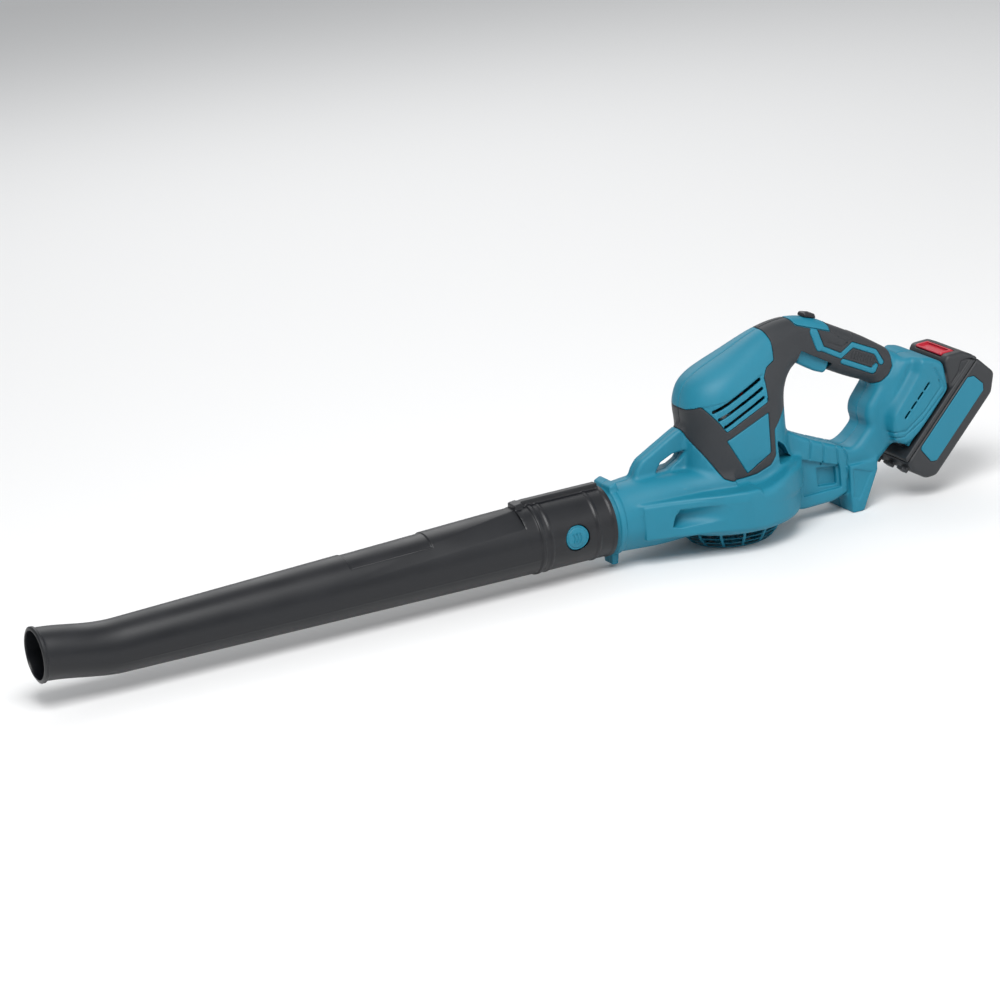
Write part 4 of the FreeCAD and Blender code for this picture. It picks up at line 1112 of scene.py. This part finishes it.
    def button(self) -> None:
        """Round button flush with the sleeve, with curved finger ribs."""
        b = Block((-203, -36.5, 33), (-171, -24, 65), 0.5)
        hole = b.from_lock()
        around = b.from_tube()
        crown = rounded(hole - 12.5, around - 34.2, 1.0)
        solid = np.maximum(crown, b.y + 25.7)
        solid = np.minimum(solid, np.maximum(hole - 14.0, np.abs(b.y + 26.6) - 0.9))
        rim = np.abs(hole - 10.4) - 0.5
        solid = cut(solid, np.maximum(rim, -(around - 33.6)), 0.3)
        made = mesh_field("lock_button_cap", b, solid, Slot.TEAL, most=40_000)
        dress(made, Body.NOZZLE_BUTTON, Slot.TEAL, "nozzle_lock_button")
        tool = Repeat("button_ribs", {"Radius": 0.9, "Bend": 8.0}, arc_shape)
        places = [((-182.4 - 3.6 * i, -34.1, TUBE_Z), (0, -1, 0)) for i in (0, 1, 2)]
        dress(tool.make("button_rib_set", places, Slot.TEAL), Body.NOZZLE_BUTTON, Slot.TEAL)


# ---------------------------------------------------------------- controls
TRIGGER_SIDE = ((-15.4, 5), (-15.4, 21), (-11, 26), (12, 26.8), (22.5, 25.2), (24.5, 22.5),
                (24.5, 5))
KNOB_SIDE = ((-8.0, -0.5), (-6.6, -5.0), (4.8, -5.5), (8.0, -0.5))


@dataclass
class Controls:
    """Trigger and slide switch of the handle."""

    def build(self) -> None:
        """Make the trigger and the knob."""
        self.trigger()
        self.knob()

    def trigger(self) -> None:
        """Wide finger trigger with a soft belly."""
        b = Block((-17, -13, 4), (26, 13, 29), 0.5, (SWITCH[0], 0, SWITCH[1]), HANDLE_TILT, True)
        side = b.outline(TRIGGER_SIDE, 0.8)
        solid = np.maximum(b.slab(side, 11.9, 3.5), 12.2 - b.w)
        made = mesh_field("finger_trigger", b, solid, Slot.TEAL, most=60_000)
        dress(made, Body.TRIGGER, Slot.TEAL, "trigger")

    def knob(self) -> None:
        """Speed knob with a dished top on a short neck."""
        b = Block((-10, -9, -8), (10, 9, 8), 0.4, (SLIDER[0], 0, SLIDER[1]), SLIDER_TILT, True)
        side = b.outline(KNOB_SIDE, 0.8)
        solid = b.slab(side, 6.9, 1.6)
        solid = cut(solid, b.box((-3.4, -4.0, -9), (3.0, 4.0, -4.5), 0.6), 0.8)
        solid = np.minimum(solid, b.box((-3.6, -3.1, -1.5), (3.6, 3.1, 5.6)))
        solid = np.minimum(solid, b.box((-9, -6, 5.0), (7, 6, 6.4)))
        made = mesh_field("speed_knob", b, solid, Slot.BLACK, most=40_000)
        dress(made, Body.SLIDER, Slot.BLACK, "slider_knob")


# ---------------------------------------------------------------- battery
CASE = ((-15, 9.6), (-19, 22), (-15, 40), (-6, 48), (96, 48), (114, 37), (114, 9.6))
CASE_INSIDE = ((-12.5, 0), (-15.5, 22), (-12, 37), (-5, 45.6), (95, 45.6), (111.5, 36), (111.5, 0))
LID = ((-13, 4.6), (-15, 9.6), (114, 9.6), (114, 4.6))
SHOULDER = ((72, 3.6), (89.8, -18.6), (96.7, -19.8), (110, -7.2), (114, 4), (114, 9.6), (72, 9.6))
RELEASE = ((94.6, -7), (94.6, -20.6), (97.4, -20.6), (106.8, -11.6), (106.8, -7))
RELEASE_DISH = ((96.6, -18.2), (96.6, -40), (105.2, -40), (105.2, -10.2))
LABEL = ((4.3, 14.5), (7, 12.8), (92, 12.8), (97, 18), (97, 32), (92, 37), (6, 37), (1.5, 32))


@dataclass
class Battery:
    """Slide-on pack with its side plates and red release button."""

    half_width: float = 39.0
    step: float = 0.8

    def block(self, low: Point3, high: Point3, step: float) -> Block:
        """Samples in the battery's own axes: u up the rail, w away from the housing."""
        return Block(low, high, step, (BATTERY_ORIGIN[0], 0, BATTERY_ORIGIN[1]), BATTERY_TILT, True)

    def build(self) -> None:
        """Make the case, the plates and the button."""
        self.lower()
        self.upper()
        self.plates()
        self.button()

    def lower(self) -> None:
        """Deep half of the case, with sunk sides for the plates and ribs below."""
        b = self.block((-24, -40, 8), (116, 40, 50), self.step)
        side = b.outline(CASE, 2.0)
        solid = b.slab(side, self.half_width, 4.5)
        solid = cut(solid, np.maximum(b.outline(LABEL, 0.4) - 0.35, 37.6 - np.abs(b.y)), 0.4)
        inside = b.slab(b.outline(CASE_INSIDE, 1.5), self.half_width - 2.6, 3.0)
        solid = cut(solid, inside)
        solid = np.maximum(solid, 9.75 - b.w)
        for y in (-26.0, 0.0, 26.0):
            hook = b.box((-23.0, y - 5.5, 12.0), (-13, y + 5.5, 20.5), 1.0)
            solid = join(solid, cut(hook, b.box((-19.5, y - 6, 10), (-16.5, y + 6, 16.5))), 0.8)
        panel = b.box((-30, -33, 22.5), (-16.4, 33, 33), 1.0)
        solid = cut(solid, np.maximum(panel, -(solid + 2.2)), 0.5)
        ring = b.stroke(((-15, 9.7), (114, 9.7)), 1.2)
        solid = cut(solid, np.maximum(ring, -(b.slab(side, self.half_width, 4.5) + 0.7)), 0.3)
        made = mesh_field("battery_tub", b, solid, Slot.DARK, most=120_000)
        dress(made, Body.BATTERY, Slot.DARK, "battery_case_lower")
        tool = Repeat("tub_ribs", {"Radius": 0.9, "Length": 52.0}, rib_shape)
        normal = (math.sin(BATTERY_TILT), 0, -math.cos(BATTERY_TILT))
        places = []
        for i in range(7):
            u = 12.0 + 11.5 * i
            x = BATTERY_ORIGIN[0] + u * math.cos(BATTERY_TILT) + 47.3 * normal[0]
            z = BATTERY_ORIGIN[1] + u * math.sin(BATTERY_TILT) + 47.3 * normal[2]
            places.append(((x, 0, z), (0, 1, 0)))
        dress(tool.make("tub_rib_set", places, Slot.DARK), Body.BATTERY, Slot.DARK)

    def upper(self) -> None:
        """Lid with the rails and the shoulder that carries the release button."""
        b = self.block((-17, -40, -22), (116, 40, 11), self.step)
        lid = b.slab(b.outline(LID, 0.8), self.half_width, 2.0)
        lid = np.maximum(lid, b.w - 9.55)
        rails = np.minimum(b.box((5, -33.2, -9.2), (90, 33.2, -0.8), 0.4),
                           b.box((5, -26.2, -1.5), (90, 26.2, 5)))
        shoulder = b.slab(b.outline(SHOULDER, 1.6), self.half_width - 3, 4.5)
        shoulder = np.maximum(shoulder, b.w - 9.55)
        front = b.outline(((50, -40), (50, 3.2), (71.8, 3.2), (89.6, -19), (96, -40)))
        solid = np.minimum(join(lid, cut(shoulder, np.maximum(front, np.abs(b.y) - 60)), 1.0), rails)
        solid = cut(solid, b.box((9, -30, -6.4), (86, 30, 10)))
        for i in range(4):
            y = -18 + 12 * i
            solid = cut(solid, b.box((4, y - 1.5, -8.4), (22, y + 1.5, 2)))
        solid = cut(solid, b.box((94.2, -24.4, -40), (107.2, 24.4, -3)), 0.4)
        solid = cut(solid, b.box((76, -9.4, -12), (98.4, 9.4, 5.2)))
        solid = cut(solid, b.box((0, -33, 5.3), (103, 33, 12)))
        lip = b.stroke(((74, 2.2), (90.5, 2.2), (101, -3.0), (108.5, 3.6), (112, 9.6)), 1.0)
        solid = cut(solid, np.maximum(lip, 34.9 - np.abs(b.y)), 0.3)
        made = mesh_field("battery_lid", b, solid, Slot.DARK, most=120_000)
        dress(made, Body.BATTERY, Slot.DARK, "battery_case_upper")

    def plates(self) -> None:
        """Thin plates let into the two sides."""
        b = self.block((0, -40, 11), (98, -37, 39), 0.4)
        side = b.outline(LABEL, 0.4)
        full = np.broadcast_to(side, np.broadcast(b.u, b.y, b.w).shape)
        solid = rounded(full, np.abs(b.y + 38.4) - 0.75, 0.5)
        for mirror in (False, True):
            made = mesh_field("battery_plate_skin", b, solid, Slot.PLATE, mirror, most=30_000)
            node = "battery_plate_right" if mirror else "battery_plate_left"
            dress(made, Body.BATTERY, Slot.PLATE, node)

    def button(self) -> None:
        """Red release button with a raised rim and a finger dish."""
        b = self.block((93, -25, -23), (108, 25, -5), 0.4)
        outer = b.slab(b.outline(RELEASE, 0.5), 24.0, 1.2)
        dish = b.slab(b.outline(RELEASE_DISH, 0.4), 20.4, 0.8)
        made = mesh_field("release_pad", b, cut(outer, dish, 0.5), Slot.RED, most=60_000)
        dress(made, Body.RELEASE, Slot.RED, "battery_release_button")


# ---------------------------------------------------------------- grille
@dataclass
class Grille:
    """Bowl-shaped intake grille with rows of slots between thin ribs."""

    step: float = 0.7

    def build(self) -> None:
        """Make the bowl and open its slots."""
        b = Block((-57, -57, -1.5), (57, 57, 24), self.step)
        radius = b.from_fan()
        height = np.array([-2.0, 0.0, 1.2, 3.5, 10.0, 17.0, 24.0])
        reach = np.array([37.0, 39.0, 41.5, 44.5, 50.0, 54.3, 54.8])
        profile = np.interp(b.w.ravel(), height, reach).astype(np.float32)[None, None, :]
        outer = rounded(0.86 * (radius - profile), np.abs(b.w - 11) - 11.0, 1.0)
        shell = np.maximum(outer, -np.maximum(0.86 * (radius - profile) + 2.4, 2.4 - b.w))
        ledge = np.maximum(np.maximum(radius - 54.8, 44.5 - radius), np.abs(b.w - 20.5) - 1.5)
        shell = np.minimum(shell, ledge)
        angle = np.degrees(np.arctan2(b.y, b.u))
        for low, high in ((13.2, 18.2), (7.8, 12.2), (2.8, 6.8)):
            slot = rounded(self.rib_gap(angle, radius, 14, 1.3), between(b.w, low, high), 0.6)
            shell = cut(shell, np.maximum(slot, 38.5 - radius), 0.4)
        for inner, outer_edge, count in ((12.0, 20.0, 8), (23.5, 33.0, 12)):
            gap = self.rib_gap(angle, radius, count, 1.6)
            slot = rounded(gap, between(radius, inner, outer_edge), 0.6)
            shell = cut(shell, np.maximum(slot, b.w - 4.0), 0.4)
        made = mesh_field("grille_bowl", b, shell, Slot.TEAL, most=110_000)
        dress(made, Body.HOUSING, Slot.TEAL, "intake_grille")

    def rib_gap(self, angle: np.ndarray, radius: np.ndarray, count: int,
                half_rib: float) -> np.ndarray:
        """Distance into the spaces between evenly spread radial ribs, negative in a space."""
        pitch = 360.0 / count
        turn = np.abs((angle / pitch) % 1.0 - 0.5) * pitch
        return (turn - pitch / 2) * math.pi / 180 * radius + half_rib


# ---------------------------------------------------------------- springs
# Node, joint, axis of travel, fixed end in millimetres, share of its length left at the limit.
SPRINGS = (
    ("nozzle_button_spring", "nozzle_button_press", (0, 1, 0), (-187, -17.3, 49), 0.45),
    ("trigger_spring", "trigger_pull", (0.515, 0, 0.857), (109.9, 0, 176.4), 0.28),
    ("release_spring", "battery_release_press", (0.7133, 0, -0.7009), (254.48, 0, 116.38), 0.13),
)


# ---------------------------------------------------------------- stage
@dataclass
class Studio:
    """Pale floor, soft lights and the camera."""

    azimuth: float = -25.2
    elevation: float = 17.4
    roll: float = 5.7
    distance: float = 4500.0

    def build(self) -> None:
        """Make the floor, the lights, the world and the camera."""
        bpy.ops.mesh.primitive_plane_add(size=30)
        floor = bpy.context.object
        floor.name = "floor"
        made = bpy.data.materials.new("floor_paint")
        made.use_nodes = True
        tree = made.node_tree
        tree.nodes.clear()
        shader = add_node(tree, "ShaderNodeBsdfPrincipled", {
            "Base Color": linear("#ebebeb"), "Roughness": 0.75})
        add_node(tree, "ShaderNodeOutputMaterial", {"Surface": shader.outputs["BSDF"]})
        floor.data.materials.append(made)
        world = bpy.data.worlds.new("studio")
        bpy.context.scene.world = world
        world.use_nodes = True
        tree = world.node_tree
        tree.nodes.clear()
        back = add_node(tree, "ShaderNodeBackground", {"Color": linear("#f4f6f8"), "Strength": 0.46})
        add_node(tree, "ShaderNodeOutputWorld", {"Surface": back.outputs["Background"]})
        self.light("key", (-0.8, -1.3, 2.2), 1.5, 66.0)
        self.light("fill", (1.5, -1.6, 1.0), 1.8, 14.0)
        self.light("back", (0.4, 1.9, 1.7), 1.8, 18.0)
        self.camera()

    def light(self, name: str, place: Point3, size: float, power: float) -> None:
        """Add one soft square light aimed at the object."""
        lamp = bpy.data.lights.new(name, "AREA")
        lamp.size = size
        lamp.energy = power
        made = bpy.data.objects.new(name, lamp)
        made.location = place
        aim = Vector((-0.22, 0, 0.08)) - Vector(place)
        made.rotation_euler = aim.to_track_quat("-Z", "Y").to_euler()
        bpy.context.scene.collection.objects.link(made)

    def camera(self) -> None:
        """Add the camera at the product view."""
        az, el, roll = (math.radians(v) for v in (self.azimuth, self.elevation, self.roll))
        back = Vector((math.sin(az) * math.cos(el), -math.cos(az) * math.cos(el), math.sin(el)))
        right = Vector((0, 0, 1)).cross(back).normalized()
        up = back.cross(right)
        across = right * math.cos(roll) - up * math.sin(roll)
        over = right * math.sin(roll) + up * math.cos(roll)
        eye = (back * self.distance - across * 224.4 - over * 6.6 - Vector((3, 0, -45))) * MM
        turn = Matrix((across, over, back)).transposed().to_4x4()
        lens = bpy.data.cameras.new("camera")
        lens.lens = 162.0
        lens.sensor_width = 36.0
        lens.clip_end = 60.0
        lens.dof.use_dof = False
        made = bpy.data.objects.new("camera", lens)
        made.matrix_world = Matrix.Translation(eye) @ turn
        bpy.context.scene.collection.objects.link(made)
        bpy.context.scene.camera = made
        bpy.context.scene.view_settings.view_transform = "Standard"


@dataclass
class FrameParts:
    """CAD pieces whose own mesh is shown, with finishes instead of flat colours."""

    def build(self) -> None:
        """Give every CAD mesh the finish of its slot."""
        slots = {entry["node"]: entry["material_slot"] for entry in frame["record"]["subparts"]}
        for name, item in frame["nodes"].items():
            item.data.materials.clear()
            item.data.materials.append(FINISHES[Slot(slots[name])].material())
        for name, joint, axis, anchor, keep in SPRINGS:
            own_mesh(frame["nodes"][name])


def main() -> None:
    """Build every class in order."""
    logging.basicConfig(level=logging.INFO, format="%(name)s %(message)s")
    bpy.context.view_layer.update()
    for part in (FrameParts(), Housing(), Nozzle(), Controls(), Battery(), Grille(), Studio()):
        LOG.info("building %s", type(part).__name__)
        part.build()


if __name__ == "__main__":
    main()
